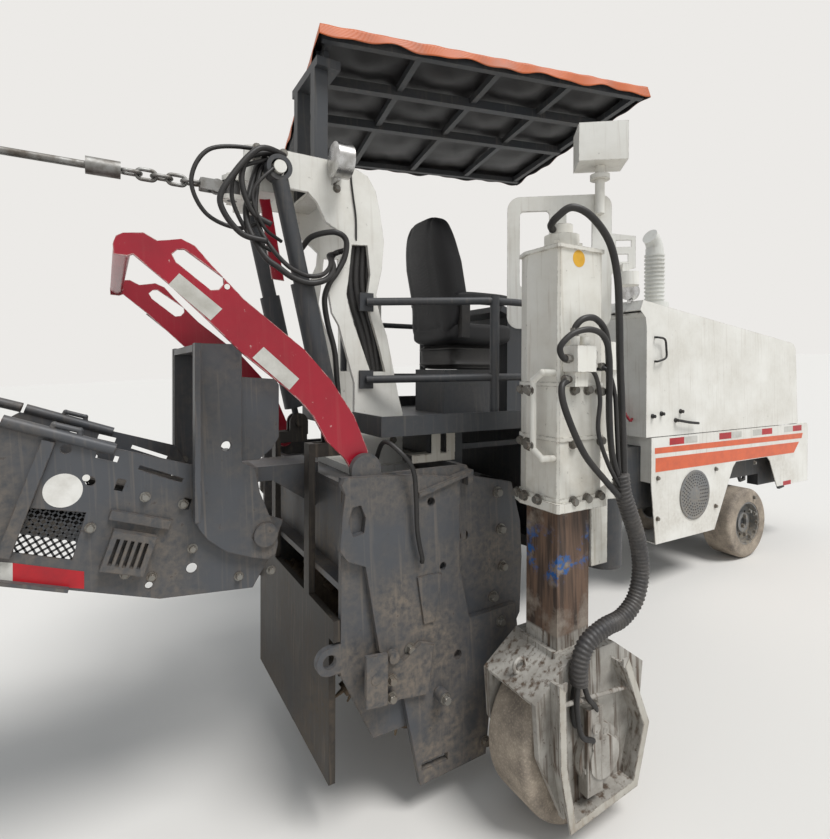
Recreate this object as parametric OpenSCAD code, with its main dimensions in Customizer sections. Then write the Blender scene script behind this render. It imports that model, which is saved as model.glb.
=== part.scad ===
// Small cold planer on solid rubber tyres, with a rear loading conveyor.
// X points forward, Y to the left and Z up. Every piece is drawn in the chassis frame, whose X is 0 at the
// rear axle and whose Z is 0 under the rear tyres. stance() then sets it nose down on the floor, as it parks.

/* [Wheels] */
// Diameter of a rear tyre
rear_tyre_d = 600; // [560:10:660]
// Width of a rear tyre
rear_tyre_w = 220; // [180:5:240]
// Diameter of a front tyre
front_tyre_d = 570; // [540:10:600]
// Width of a front tyre
front_tyre_w = 230; // [180:5:240]
// Distance between the front and rear axles
wheelbase = 3030; // [2980:10:3060]
// Distance of a rear tyre's middle from the centre plane
rear_track_half = 930; // [915:5:950]
// How far the chassis stands up on its rear legs, measured at the front tyres
rear_lift = 150; // [60:5:180]

/* [Body] */
// Right side face of the body, measured from the centre plane
body_right = -50; // [-60:5:0]
// Left side face of the body
body_left = 1060; // [1000:5:1100]
// Height of the seam between the hood and the lower body
seam_z = 1226; // [1180:5:1260]
// Height of the hood at its rear end
hood_rear_z = 2189; // [2050:5:2300]
// Height of the hood at its front end
hood_front_z = 1988; // [1900:5:2040]
// Rear face of the body
body_rear_x = 1770; // [1700:5:1800]
// Front face of the hood
hood_front_x = 3850; // [3800:5:3880]
// Front face of the bumper
bumper_x = 4040; // [3980:5:4100]
// Underside of the body
body_bottom_z = 457; // [430:5:500]
// Top of the wheel arches
arch_top_z = 962; // [930:5:1000]
// Thickness of the sheet metal panels
panel_t = 6; // [4:1:10]

/* [Milling drum] */
// Width that the drum cuts
drum_w = 1000; // [900:10:1010]
// Diameter over the tips of the picks
drum_d = 680; // [600:10:700]
// Height of the drum's axis
drum_z = 500; // [480:5:530]
// Distance of the drum's axis behind the rear axle
drum_back = 450; // [440:5:470]
// Thickness of a cheek plate of the drum housing
cheek_t = 25; // [15:1:30]
// Thickness of a sliding side plate
edge_plate_t = 25; // [15:1:30]

/* [Conveyor] */
// Angle at which the conveyor rises to the rear
conveyor_rise = 18.4; // [12:0.2:22]
// Length of the conveyor behind its lift pivot
conveyor_len = 5200; // [4200:50:5400]
// Distance between the outer faces of the conveyor's side plates
conveyor_w = 560; // [500:10:580]
// Thickness of the conveyor's side plates
conveyor_t = 8; // [5:1:12]
// Thickness of the conveyor belt
belt_t = 12; // [8:1:16]

/* [Tower and canopy] */
// Distance between the outer faces of the tower's two plates
tower_w = 360; // [320:5:400]
// Thickness of the tower's plates
tower_t = 20; // [12:1:30]
// Height of the tower's top edge
tower_top_z = 2585; // [2540:5:2620]
// Height of the canopy's cover at its rear right corner
canopy_rear_z = 3110; // [3050:5:3150]
// Slope of the canopy, rising to the front
canopy_slope = 2; // [1:0.5:4]
// How far the canopy is turned to the right about its post
canopy_turn = 10; // [0:1:12]
// Length of the canopy
canopy_len = 1710; // [1600:10:1800]
// Width of the canopy
canopy_w = 1300; // [1200:10:1350]

/* [Legs] */
// Width and depth of a rear column
column_w = 230; // [215:5:240]
// Top of a rear column
column_top_z = 2155; // [2100:5:2200]
// Underside of a rear column
column_bottom_z = 1185; // [1170:5:1200]
// Width and depth of the sliding leg inside a column
leg_w = 165; // [150:5:170]
// Distance of a leg's middle behind the axle of its wheel
leg_back = 40; // [0:5:50]

/* [Joints and clearances] */
// Side clearance of sliding plates and legs
slide_gap = 0.5; // [0.3:0.1:1]
// Diameter of the large pivot pins
pin_d = 50; // [40:2:60]
// Radial clearance of a pin in its bore
pin_gap = 0.05; // [0.03:0.01:0.1]

/* [Hidden] */

// Place of the rear axle in front of the middle of the whole machine
rear_axle_x = 900;
rear_r = rear_tyre_d / 2;
front_r = front_tyre_d / 2;
front_axle_z = rear_lift + front_r;
axle_rise = front_axle_z - rear_r;
axle_span = norm([wheelbase, axle_rise]);
// Angle at which the chassis stands nose down
rake = atan2(axle_rise, wheelbase) + asin((rear_r - front_r) / axle_span);

module stance() {
    translate([rear_axle_x, 0, rear_r])
        rotate([0, rake, 0])
            translate([0, 0, -rear_r]) children();
}

// A flat plate that stands along X, from its outline in X and Z
module side_plate(y, t) {
    translate([0, y + t, 0]) rotate([90, 0, 0]) linear_extrude(t) children();
}

// A flat plate that stands across the machine, from its outline in Y and Z
module cross_plate(x, t) {
    translate([x, 0, 0]) rotate([90, 0, 90]) linear_extrude(t) children();
}

module box(x, y, z) {
    translate([x[0], y[0], z[0]]) cube([x[1] - x[0], y[1] - y[0], z[1] - z[0]]);
}

// A round bar from point a to point b
module bar(a, b, d) {
    v = b - a;
    translate(a) rotate([0, acos(v[2] / norm(v)), atan2(v[1], v[0])]) cylinder(d = d, h = norm(v), $fn = 32);
}

// A round bar along Y
module cross_bar(x, y, z, d) {
    translate([x, y[1], z]) rotate([90, 0, 0]) cylinder(d = d, h = y[1] - y[0], $fn = 48);
}

module round_rect(x, z, r) {
    hull() for (i = [x[0] + r, x[1] - r], k = [z[0] + r, z[1] - r]) translate([i, k]) circle(r, $fn = 32);
}

// A round rod bent through the given points, with a slightly thicker knuckle at each bend
module rod(points, d) {
    for (i = [0:len(points) - 2]) bar(points[i], points[i + 1], d);
    for (i = [1:len(points) - 2]) translate(points[i]) sphere(d = d + 2, $fn = 32);
}

// A smooth curve through the points, and a hose swept along it as rings that stand across the curve
function unit(v) = v / norm(v);
function between(a, b, c, d, t) = (2 * b + (c - a) * t + (2 * a - 5 * b + 4 * c - d) * t * t
    + (3 * b - a - 3 * c + d) * t * t * t) / 2;
function curve(p, steps) = concat([for (i = [0:len(p) - 2], k = [0:steps - 1])
    between(p[max(i - 1, 0)], p[i], p[i + 1], p[min(i + 2, len(p) - 1)], k / steps)], [p[len(p) - 1]]);
function ring(a, b, c, d, side, n) = let (t = unit(c - a), u = unit(cross(side, t)), v = cross(t, u))
    [for (k = [0:n - 1]) b + d / 2 * (cos(k * 360 / n) * u + sin(k * 360 / n) * v)];
module hose(points, d, steps = 2, side = [0, 1, 0], n = 8) {
    line = curve(points, steps);
    last = len(line) - 1;
    rings = [for (i = [0:last]) each ring(line[max(i - 1, 0)], line[i], line[min(i + 1, last)], d, side, n)];
    walls = [for (i = [0:last - 1], k = [0:n - 1])
        [i * n + k, (i + 1) * n + k, (i + 1) * n + (k + 1) % n, i * n + (k + 1) % n]];
    polyhedron(rings, concat([[for (k = [0:n - 1]) k]], [[for (k = [n - 1:-1:0]) last * n + k]], walls));
}

// Wheels
axle_d = 90;
rim_share = 0.62;
tyre_edge_r = 28;
disc_t = 18;

module tyre(d, w, side) {
    r = d / 2;
    rim_r = r * rim_share;
    rotate([90, 0, 0]) rotate_extrude($fn = 72) difference() {
        translate([rim_r, -w / 2]) square([r - rim_r, w]);
        for (s = [-1, 1]) translate([r - tyre_edge_r, s * (w / 2 - tyre_edge_r)])
            difference() {
                translate([0, s > 0 ? 0 : -tyre_edge_r - 1]) square(tyre_edge_r + 1);
                circle(tyre_edge_r, $fn = 48);
            }
    }
}

// The rim's disc sits deep behind its outer lip
module rim(d, w, side) {
    rim_r = d / 2 * rim_share - pin_gap;
    dish = w * 0.28;
    rotate([side < 0 ? 90 : -90, 0, 0]) difference() {
        union() {
            rotate_extrude($fn = 72) union() {
                translate([rim_r - 14, -w / 2 + 4]) square([14, w - 8]);
                translate([axle_d / 2 + pin_gap, w / 2 - dish - disc_t]) square([rim_r - axle_d / 2 - 10, disc_t]);
                translate([axle_d / 2 + pin_gap, w / 2 - dish - 60]) square([35, 90]);
            }
        }
        for (i = [0:7]) rotate(i * 45) translate([axle_d / 2 + 62, 0, w / 2 - dish - disc_t - 1])
            cylinder(d = 22, h = disc_t + 2, $fn = 24);
    }
}

wheel_side_y = [-rear_track_half, rear_track_half];
front_y = [body_right + front_tyre_w / 2, body_left - front_tyre_w / 2];

module rear_tyre(side) { translate([0, side * rear_track_half, rear_r]) tyre(rear_tyre_d, rear_tyre_w, side); }
module rear_rim(side) { translate([0, side * rear_track_half, rear_r]) rim(rear_tyre_d, rear_tyre_w, side); }
module front_tyre(side) {
    translate([wheelbase, front_y[side < 0 ? 0 : 1], front_axle_z]) tyre(front_tyre_d, front_tyre_w, side);
}
module front_rim(side) {
    translate([wheelbase, front_y[side < 0 ? 0 : 1], front_axle_z]) rim(front_tyre_d, front_tyre_w, side);
}

// Front axle with a king pin at each end, and the knuckles that turn on them
knuckle_gap = 14;
king_d = 60;
fork_reach = 150;
function king_y(side) = front_y[side < 0 ? 0 : 1] - side * (front_tyre_w / 2 + 75);

module front_axle() {
    color("dimgray") {
        box([wheelbase - 70, wheelbase + 70], [king_y(-1) + 75, king_y(1) - 75], [front_axle_z - 60, front_axle_z + 60]);
        for (s = [-1, 1]) difference() {
            union() for (k = [-1, 1]) {
                translate([wheelbase, king_y(s), front_axle_z + k * 75 - 15]) cylinder(d = 110, h = 30, $fn = 48);
                box([wheelbase - 50, wheelbase + 50], s > 0 ? [king_y(s) - 90, king_y(s)] : [king_y(s), king_y(s) + 90],
                    [front_axle_z + k * 75 - 15, front_axle_z + k * 75 + 15]);
            }
            translate([wheelbase, king_y(s), front_axle_z - 100]) cylinder(d = king_d + 2 * pin_gap, h = 200, $fn = 48);
        }
        cross_bar(wheelbase, [king_y(-1) + 200, king_y(1) - 200], front_axle_z, 160);
        box([wheelbase - 110, wheelbase + 110], [mid_y - 150, mid_y + 150], [front_axle_z + 40, axle_seat_z]);
    }
}

module knuckle(side) {
    color("dimgray") {
        translate([wheelbase, king_y(side), front_axle_z - 100]) cylinder(d = king_d, h = 200, $fn = 48);
        translate([wheelbase, king_y(side), front_axle_z - 55]) cylinder(d = 100, h = 110, $fn = 48);
        y0 = king_y(side);
        y1 = front_y[side < 0 ? 0 : 1] + side * 60;
        cross_bar(wheelbase, [min(y0, y1), max(y0, y1)], front_axle_z, axle_d);
    }
}

// Chassis
mid_y = (body_left + body_right) / 2;
axle_seat_z = 800;
drum_x = -drum_back;
drum_shaft_d = 110;
drum_y = [-620, -620 + drum_w];
cheek_out = [drum_y[0] - 15 - cheek_t, drum_y[1] + 15 + cheek_t];
housing_x = [-830, -60];
housing_neck_x = -280;
housing_front_x = 10;
// Holes in the cheek plate: place along X, height, diameter
cheek_holes = [[-450, 1020, 40], [-290, 1023, 40], [-411, 860, 46], [-466, 1187, 22], [-374, 1183, 30]];
housing_top = 1310;
beam_y = [40, 560];
beam_z = [700, 1150];

// The two longitudinal beams, the cross members and the bracket of the swing arm
swing_x = 530;
swing_y = -660;
swing_pin_d = 90;
swing_seat_z = [760, 1090];

frame_front_x = 3820;
lash_front = [3935, 640];
module main_frame() {
    color("dimgray") {
        difference() {
            union() {
                box([housing_x[1], frame_front_x], [beam_y[0], beam_y[0] + 90], beam_z);
                box([housing_x[1], frame_front_x], [beam_y[1] - 90, beam_y[1]], beam_z);
                for (x = [40, 900, 1750, 2600, 3700])
                    box([x, x + 80], [beam_y[0] + 80, beam_y[1] - 80], [750, 1100]);
            }
            box([wheelbase - 330, wheelbase + 330], [0, 1000], [600, axle_seat_z]);
        }
        box([wheelbase - 120, wheelbase + 120], [mid_y - 160, beam_y[1] + 1], [axle_seat_z, axle_seat_z + 60]);
        box([body_rear_x + 60, frame_front_x], [body_right + panel_t, beam_y[0] + 1], [1100, 1140]);
        box([body_rear_x + 60, frame_front_x], [beam_y[1] - 1, body_left - panel_t], [1100, 1140]);
        box([-100, 70], [beam_y[1] - 60, rear_track_half - column_w / 2 - 5.3], [column_bottom_z + 40, housing_top]);
        box([-60, 140], [beam_y[1] - 90, beam_y[1]], [beam_z[0], housing_top]);
        for (y = [120, 470]) side_plate(y, 20) difference() {
            polygon([[frame_front_x - 1, 720], [frame_front_x - 1, 900], [3900, 760], [3990, 680], [3990, 600],
                [3900, 590]]);
            translate(lash_front) circle(lash_r, $fn = 48);
        }
    }
}

// Bracket on the right beam that carries the pin of the swing arm
module swing_bracket() {
    color("dimgray") difference() {
        union() {
            for (z = [swing_seat_z[0], swing_seat_z[1] - 60]) translate([0, 0, z]) linear_extrude(60)
                polygon([[swing_x - 200, beam_y[0]], [swing_x - 95, swing_y], [swing_x + 80, swing_y], [swing_x + 130, beam_y[0]]]);
            box([swing_x - 60, swing_x + 40], [swing_y + 60, beam_y[0]], swing_seat_z);
            translate([swing_x, swing_y, swing_seat_z[0]])
                cylinder(d = 190, h = swing_seat_z[1] - swing_seat_z[0], $fn = 64);
        }
        translate([swing_x, swing_y, 0]) cylinder(d = swing_pin_d + 2 * pin_gap, h = 2000, $fn = 64);
    }
}

bow_pivot = [-730, 1330];
bow_t = 16;
bow_gap = 10;
bow_y = [cheek_out[0] + cheek_t + bow_gap, cheek_out[1] - cheek_t - bow_gap - bow_t];
lash_r = 25;
carrier_z = [1237, 1297];
slew_pin_d = 80;
lash_rear = [-872, 660];

module cheek_outline() {
    polygon([[housing_x[0], 720], [housing_x[0], 600], [-700, 330], [-180, 330], [-95, 470], [housing_front_x, 640],
        [housing_front_x + 10, 880], [housing_front_x, 1040], [-40, 1215], [housing_neck_x + 30, 1262],
        [housing_neck_x, housing_top], [housing_x[0], housing_top]]);
}

module drum_housing() {
    color("slategray") {
        for (y = [cheek_out[0], cheek_out[1] - cheek_t]) side_plate(y, cheek_t) difference() {
            union() {
                if (y < 0) cheek_outline();
                else difference() {
                    cheek_outline();
                    translate([housing_x[1], 300]) square([200, 1000]);
                    translate([housing_neck_x, 960]) square([400, 400]);
                }
                translate(bow_pivot) circle(60, $fn = 48);
                translate(lash_rear) circle(50, $fn = 48);
                polygon([[housing_x[0] + 5, 610], [lash_rear[0], lash_rear[1] - 50], [lash_rear[0], lash_rear[1] + 50],
                    [housing_x[0] + 5, 715]]);
            }
            translate([drum_x, drum_z]) circle(drum_shaft_d / 2 + pin_gap, $fn = 64);
            translate(lash_rear) circle(lash_r, $fn = 48);
            for (h = cheek_holes) translate([h[0], h[1]]) circle(h[2] / 2, $fn = 48);
        }
        box([housing_x[0], housing_x[1]], [cheek_out[0] + 1, cheek_out[1] - 1], [900, 925]);
        box([housing_x[1] - 25, housing_x[1]], [cheek_out[0] + 1, cheek_out[1] - 1], [560, 925]);
        box([housing_neck_x - 25, housing_neck_x], [cheek_out[0] + 1, cheek_out[1] - 1], [924, housing_top]);
        box([-770, -745], [cheek_out[0] + 1, cheek_out[1] - 1], [924, carrier_z[0] + 20]);
        box([-771, housing_neck_x - 1], [cheek_out[0] + 1, cheek_out[1] - 1], [1214, 1241]);
        // flange along the cheek's top edge, in front of the neck
        box([housing_neck_x + 1, -42], [cheek_out[0], cheek_out[0] + 70], [1196, 1214]);
        difference() {
            union() {
                box([slew_x, -760], [conveyor_y - 110, conveyor_y + 110], carrier_z);
                translate([slew_x, conveyor_y, carrier_z[0]]) cylinder(d = 170, h = carrier_z[1] - carrier_z[0], $fn = 64);
                for (y = [conveyor_y - 110, conveyor_y + 90]) side_plate(y, 20)
                    polygon([[-960, carrier_z[0] + 1], [-769, carrier_z[0] + 1], [-769, 1110]]);
            }
            translate([slew_x, conveyor_y, 0]) cylinder(d = slew_pin_d + 2 * pin_gap, h = 3000, $fn = 64);
        }
        cross_bar(bow_pivot[0], [cheek_out[0] + 1, bow_y[0] + bow_t + 4], bow_pivot[1], pin_d);
        cross_bar(bow_pivot[0], [bow_y[1] - 4, cheek_out[1] - 1], bow_pivot[1], pin_d);
    }
}

// Front body under the seam, with an open arch on each side
bumper_z = [690, 1181];

// Thickness of the frame that closes the sides below
module lower_body() {
    side = [[body_rear_x + 55, body_bottom_z], [wheelbase - 480, body_bottom_z], [wheelbase - 225, arch_top_z - 40], [wheelbase - 180, arch_top_z],
        [wheelbase + 300, arch_top_z], [wheelbase + 345, arch_top_z - 40], [wheelbase + 465, 690],
        [bumper_x, 690], [bumper_x, seam_z - 45],
        [bumper_x - 20, seam_z - hood_gap], [body_rear_x, seam_z - hood_gap], [body_rear_x, 900]];
    color("white") {
        for (y = [body_right, body_left - panel_t]) side_plate(y, panel_t) polygon(side);
        cross_plate(bumper_x - 10, 10) polygon([[body_right, 690], [body_left, 690], [body_left, seam_z - 50], [body_right, seam_z - 50]]);
        cross_plate(body_rear_x, 10) polygon([[body_right, 900], [beam_y[0] - 2, 900], [beam_y[0] - 2, beam_z[1] + 2],
            [beam_y[1] + 2, beam_z[1] + 2], [beam_y[1] + 2, 900], [body_left, 900], [body_left, seam_z - hood_gap],
            [body_right, seam_z - hood_gap]]);
        box([hood_front_x + 8, bumper_x - 19], [body_right, body_left], [seam_z - 17, seam_z - hood_gap]);
        box([body_rear_x + 55, wheelbase - 480], [body_right, beam_y[0] - 1], [body_bottom_z, body_bottom_z + 6]);
        for (y = hinge_y) {
            for (k = [y - 21, y + 61]) side_plate(k, 20) {
                translate(hood_hinge) circle(12, $fn = 32);
                translate([hood_hinge[0] - 6, seam_z - 12]) square([18, 26]);
            }
            cross_bar(hood_hinge[0], [y - 20, y + 80], hood_hinge[1], hood_pin_d);
        }
    }
}

// The hood lifts at its rear about a hinge in front
hood_gap = 5;
hood_hinge = [3864, 1240];
hood_pin_d = 12;
hinge_y = [100, 860];
hood_back_low_x = body_rear_x - 60;
hood_back_top_x = body_rear_x - 130;
hood_front_r = 90;
module hood_outline(inset = 0) {
    r = hood_front_r - inset;
    polygon(concat([[hood_back_low_x + inset, seam_z - inset], [hood_back_low_x + inset, hood_rear_z - 190],
        [hood_back_low_x + inset / 2 - 12, hood_rear_z - 120],
        [hood_back_top_x + inset, hood_rear_z - 70 - inset], [hood_back_top_x + 30 + inset, hood_rear_z - inset]],
        [for (a = [90:-15:0]) [hood_front_x - 45 - inset - r + r * cos(a), hood_front_z - 38 - inset - r + r * sin(a)]],
        [[hood_front_x - inset, seam_z - inset]]));
}

module hood() {
    color("white") {
        difference() {
            side_plate(body_right, body_left - body_right) hood_outline();
            side_plate(body_right + panel_t, body_left - body_right - 2 * panel_t) hood_outline(panel_t);
        }
        for (y = hinge_y) side_plate(y, 60) difference() {
            union() {
                translate(hood_hinge) circle(12, $fn = 32);
                polygon([[hood_front_x - 4, 1230], [hood_hinge[0], 1228], [hood_hinge[0], 1252], [hood_front_x - 4, 1262]]);
            }
            translate(hood_hinge) circle(hood_pin_d / 2 + pin_gap, $fn = 32);
        }
    }
}

module engine() {
    color("dimgray") box([body_rear_x + 280, hood_front_x - 550], [beam_y[0] + 160, body_left - 160], [beam_z[1], hood_front_z - 188]);
}

duct_x = 2030;
duct_y = 120;
duct_bend = 110;
duct_foot_z = hood_rear_z - 50;
module air_duct() {
    color("gainsboro") {
        difference() {
            union() {
                translate([duct_x, duct_y, duct_foot_z]) cylinder(d = 128, h = 480, $fn = 48);
                for (i = [0:11]) translate([duct_x, duct_y, duct_foot_z + 90 + i * 30]) cylinder(d = 144, h = 12, $fn = 48);
                translate([duct_x, duct_y, duct_foot_z + 20]) cylinder(d = 200, h = 50, $fn = 48);
            }
            side_plate(0, 300) hood_outline();
        }
        translate([duct_x - duct_bend, duct_y, duct_foot_z + 470]) rotate([90, 0, 0])
            rotate_extrude(angle = 62, $fn = 48) translate([duct_bend, 0]) circle(d = 118, $fn = 48);
    }
}

post_x = -760;
// Tower: two goosenecked plates with a head box between them
conveyor_y = -120;
tower_y = [conveyor_y - tower_w / 2, conveyor_y + tower_w / 2];
head_x = -1060;
slew_x = -1100;
swivel_z = [2421, 2479];
swivel_pin_d = 40;
lug_t = 20;
beam_seat_z = tower_top_z - 125;
tower_foot_z = 1241.3;

module tower_outline() {
    difference() {
        polygon([[head_x - 29, tower_top_z - 150], [head_x - 29, tower_top_z - 12], [head_x + 14, tower_top_z],
            [-720, tower_top_z], [-620, tower_top_z - 14], [-560, tower_top_z - 36], [-520, tower_top_z - 95],
            [-498, tower_top_z - 190], [-478, tower_top_z - 315], [-490, 2140], [-516, 2030], [-500, 1950],
            [-462, 1850], [-403, 1582], [-380, 1500], [-380, tower_foot_z], [-620, tower_foot_z], [-620, 1640],
            [-693, 1890], [-724, 1940], [-739, 2022], [-700, 2130], [-668, tower_top_z - 380],
            [-662, tower_top_z - 320], [-700, tower_top_z - 290], [-752, tower_top_z - 262],
            [-790, tower_top_z - 190], [-830, tower_top_z - 150]]);
        polygon([[-634, 2240], [-560, 2246], [-545, 2120], [-560, 2020], [-545, 1940], [-500, 1800], [-470, 1690],
            [-545, 1690], [-640, 1940], [-660, 2020], [-650, 2090]]);
    }
}

module tower() {
    color("ivory") {
        for (y = [tower_y[0], tower_y[1] - tower_t]) side_plate(y, tower_t) tower_outline();
        box([head_x, head_x + 110], tower_y, [2405, tower_top_z - 5]);
        box([-640, -360], [tower_y[0] - 40, tower_y[1] + 40], [tower_foot_z, 1275]);
        box([-430, -410], [tower_y[0] + 1, tower_y[1] - 1], [1330, 1560]);
        difference() {
            box([-840, -620], [tower_y[0] + 1, tower_y[1] - 1], [tower_top_z - 30, tower_top_z - 18]);
            for (y = [tower_y[0] + 40, tower_y[1] - 90])
                box([post_x - 30.3, post_x + 30.3], [y - 0.3, y + 50.3], [tower_top_z - 31, tower_top_z - 17]);
        }
        box([head_x + 10, head_x + 130], [tower_y[0] - 22, tower_y[0] + 1], [tower_top_z - 76, tower_top_z - 10]);
        cross_bar(hoist_top[0], [hoist_y[0] - 40, hoist_y[1] + 40], hoist_top[1], pin_d);
        box([post_x - 50, post_x + 50], [tower_y[0] + 1, tower_y[1] - 1], [beam_seat_z - 15, beam_seat_z]);
        for (z = [swivel_z[0] - 0.5 - lug_t, swivel_z[1] + 0.5]) difference() {
            union() {
                translate([slew_x, conveyor_y, z]) cylinder(d = 80, h = lug_t, $fn = 48);
                box([slew_x, head_x + 15], [conveyor_y - 40, conveyor_y + 40], [z, z + lug_t]);
            }
            translate([slew_x, conveyor_y, z - 1]) cylinder(d = swivel_pin_d + 2 * pin_gap, h = lug_t + 2, $fn = 48);
        }
    }
}

// Canopy: a post on the tower, arms and cross ribs under the cover
canopy_x0 = -800;
canopy_y0 = -350;
canopy_roll = -1.5;
canopy_skirt = 70;
canopy_beams = [330, 700];

module canopy_plane() {
    translate([canopy_x0, canopy_y0, canopy_rear_z]) rotate([0, 0, -canopy_turn]) rotate([canopy_roll, -canopy_slope, 0])
        children();
}
module canopy_frame() {
    color("dimgray") {
        for (y = [tower_y[0] + 40, tower_y[1] - 90])
            box([post_x - 30, post_x + 30], [y, y + 50], [beam_seat_z, canopy_rear_z - 95]);
        box([post_x - 30, post_x + 76], [tower_y[0] + 10, tower_y[1] - 10], [canopy_rear_z - 130, canopy_rear_z - 92]);
        box([post_x + 12, post_x + 36], [tower_y[0] + 40, tower_y[0] + 90], [canopy_rear_z - 100, canopy_rear_z - 36]);
        box([post_x + 44, post_x + 76], [tower_y[1] - 90, tower_y[1] - 40], [canopy_rear_z - 100, canopy_rear_z - 44]);
        canopy_plane() {
            for (b = canopy_beams) box([10, canopy_len - 40], [b, b + 40], [-58, -14]);
            box([8.3, 60], [150, canopy_w - 40], [-64, -20]);
            for (i = [0:4]) translate([30 + i * (canopy_len - 90) / 4, 0, 0])
                box([0, 30], [25, canopy_w - 25], [-44, -12]);
            for (y = [20, canopy_w - 50]) box([12, canopy_len - 12], [y, y + 30], [-48, -16]);
        }
    }
}
module canopy_cover() {
    color("darkorange") canopy_plane() difference() {
        box([0, canopy_len], [0, canopy_w], [-canopy_skirt, 5]);
        box([8, canopy_len - 8], [8, canopy_w - 8], [-canopy_skirt - 10, -9.7]);
    }
}

deck_z = 1450;
deck_x = [-640, 400];
deck_y = [-600, 780];
deck_t = 12;
deck_edge_z = [1436, 1516];
seat_post_top = 1700;
module platform() {
    color("dimgray") {
        difference() {
            union() {
                box(deck_x, deck_y, [deck_z - deck_t, deck_z]);
                for (y = [deck_y[0], deck_y[1] - 12]) box(deck_x, [y, y + 12], deck_edge_z);
                box([deck_x[0], deck_x[0] + 12], deck_y, deck_edge_z);
                box(deck_x, [deck_y[0] + 11, deck_y[0] + 60], [deck_edge_z[0], deck_edge_z[0] + 8]);
            }
            box([deck_x[0] - 1, -265], [cheek_out[1] - 75, deck_y[1] + 1], [deck_z - 100, deck_z + 100]);
            box([deck_x[0] - 1, -370], [tower_y[0] - 20, tower_y[1] + 20], [deck_z - 100, deck_z + 100]);
        }
        for (x = [-255, 160, 330]) box([x, x + 60], [deck_y[0] + 90, deck_y[1] - 20], [1150, deck_z - deck_t + 1]);
        box([100, 480], [80, 400], [deck_z - 1, seat_post_top]);
        box([-254, 389], [deck_y[0] + 91, deck_y[0] + 110], [1348, 1372]);
    }
    color("white") {
        box([deck_x[1] - 1, body_rear_x - 140], [40, 1040], [beam_z[1], beam_z[1] + 30]);
        box([-470, -256], [deck_y[0] + 60, deck_y[0] + 120], [housing_top + 0.3, 1345]);
        for (x = [-375, -300]) box([x, x + 45], [deck_y[0] + 70, deck_y[0] + 100], [1344, deck_z - deck_t + 1]);
    }
}

rail_d = 34;
rail_z = [1655, 1995];
module handrails() {
    color("dimgray") {
        for (z = rail_z) {
            bar([-570, tower_y[0] - 17, z], [-60, deck_y[0] + 34, z + 12], rail_d);
            bar([-60, deck_y[0] + 34, z + 12], [150, deck_y[0] + 34, z + 12], rail_d - 2);
            bar([-235, deck_y[1] - 30, z], [360, deck_y[1] - 30, z], rail_d);
        }
        box([-600, -535], [tower_y[0] - 12, tower_y[0]], [rail_z[0] - 40, rail_z[0] + 40]);
        box([-600, -535], [tower_y[0] - 12, tower_y[0]], [rail_z[1] - 40, rail_z[1] + 40]);
        for (p = [[-60, deck_y[0] + 34], [150, deck_y[0] + 34]])
            bar([p[0], p[1], deck_z + 0.3], [p[0], p[1], rail_z[1] + 35], rail_d + 8);
        for (x = [-235, 360])
            bar([x, deck_y[1] - 35, deck_z], [x, deck_y[1] - 35, rail_z[1] + 25], rail_d + 8);
    }
}

// Rear end of the seat
seat_x = 60;
module seat() {
    color("black") {
        box([seat_x + 60, seat_x + 440], [40, 440], [seat_post_top, 1845]);
        hull() for (x = [seat_x + 60, seat_x + 480], y = [30, 450], z = [1880, 1930])
            translate([x, y, z]) sphere(40, $fn = 16);
        hull() for (p = [[seat_x + 60, 1900], [seat_x + 10, 2500]], y = [60, 420])
            translate([p[0], y, p[1]]) sphere(62, $fn = 16);
        for (y = [-30, 450]) hull() for (x = [seat_x + 90, seat_x + 420])
            translate([x, y + 30, 2105]) sphere(34, $fn = 16);
        for (y = [-25, 455]) box([seat_x + 90, seat_x + 150], [y, y + 50], [1850, 2100]);
        for (y = [0, 440]) box([seat_x + 70, seat_x + 160], [y, y + 40], [1850, 1880]);
    }
}

module console() {
    color("dimgray") {
        box([620, 820], [150, 700], [beam_z[1] + 30, 2050]);
        translate([600, 0, 2040]) rotate([0, 20, 0]) box([-60, 260], [120, 730], [0, 40]);
    }
}

// Turn of the rail frame about its post
hoop_turn = -38;
module hoop() {
    color("white") translate([150, -400, 0]) rotate(hoop_turn) {
        side_plate(-20, 20) difference() {
            round_rect([0, 490], [1900, 2540], 60);
            round_rect([60, 200], [2100, 2470], 20);
            round_rect([280, 400], [2100, 2470], 20);
        }
        box([180, 300], [-60, -19], [deck_edge_z[1] + 0.3, 2000]);
        side_plate(-20, 12) difference() {
            polygon([[489, 2160], [600, 2185], [600, 2335], [489, 2350]]);
            translate([510, 2285]) square([70, 32]);
            translate([510, 2215]) square([56, 36]);
        }
    }
    color("gray") translate([150, -400, 0]) rotate(hoop_turn) {
        translate([430, -40, 2440]) cylinder(d = 44, h = 230, $fn = 32);
        translate([430, -40, 2600]) cylinder(d = 90, h = 22, $fn = 32);
        box([320, 540], [-120, 40], [2665, 2840]);
        translate([545, -90, 2090]) rotate([0, 0, 0]) cylinder(d = 100, h = 60, $fn = 32);
        box([530, 560], [-60, -19], [2120, 2200]);
    }
}

module tower_lamp() {
    color("silver") {
        translate([-680, tower_y[0] - 75, tower_top_z - 25]) rotate([0, -90, 0]) cylinder(d = 140, h = 70, $fn = 48);
        translate([-730, tower_y[0] - 75, tower_top_z - 105]) cube([12, 75, 60]);
    }
}
module hood_lamp() {
    color("silver") {
        translate([1700, 60, hood_rear_z + 70]) rotate([0, -90, 0]) cylinder(d = 120, h = 60, $fn = 48);
        difference() {
            box([1660, 1690], [45, 75], [hood_rear_z - 14, hood_rear_z + 30]);
            side_plate(0, 300) hood_outline();
        }
    }
}

// Rear legs: a column, a sliding leg in it, and a fork that carries the wheel
leg_y = rear_track_half;
leg_in_top = 1850;
fork_top_z = rear_tyre_d + 42;
fork_t = 22;
fork_out = rear_tyre_w / 2 + 12 + fork_t;
guard_deep = 61;
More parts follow.
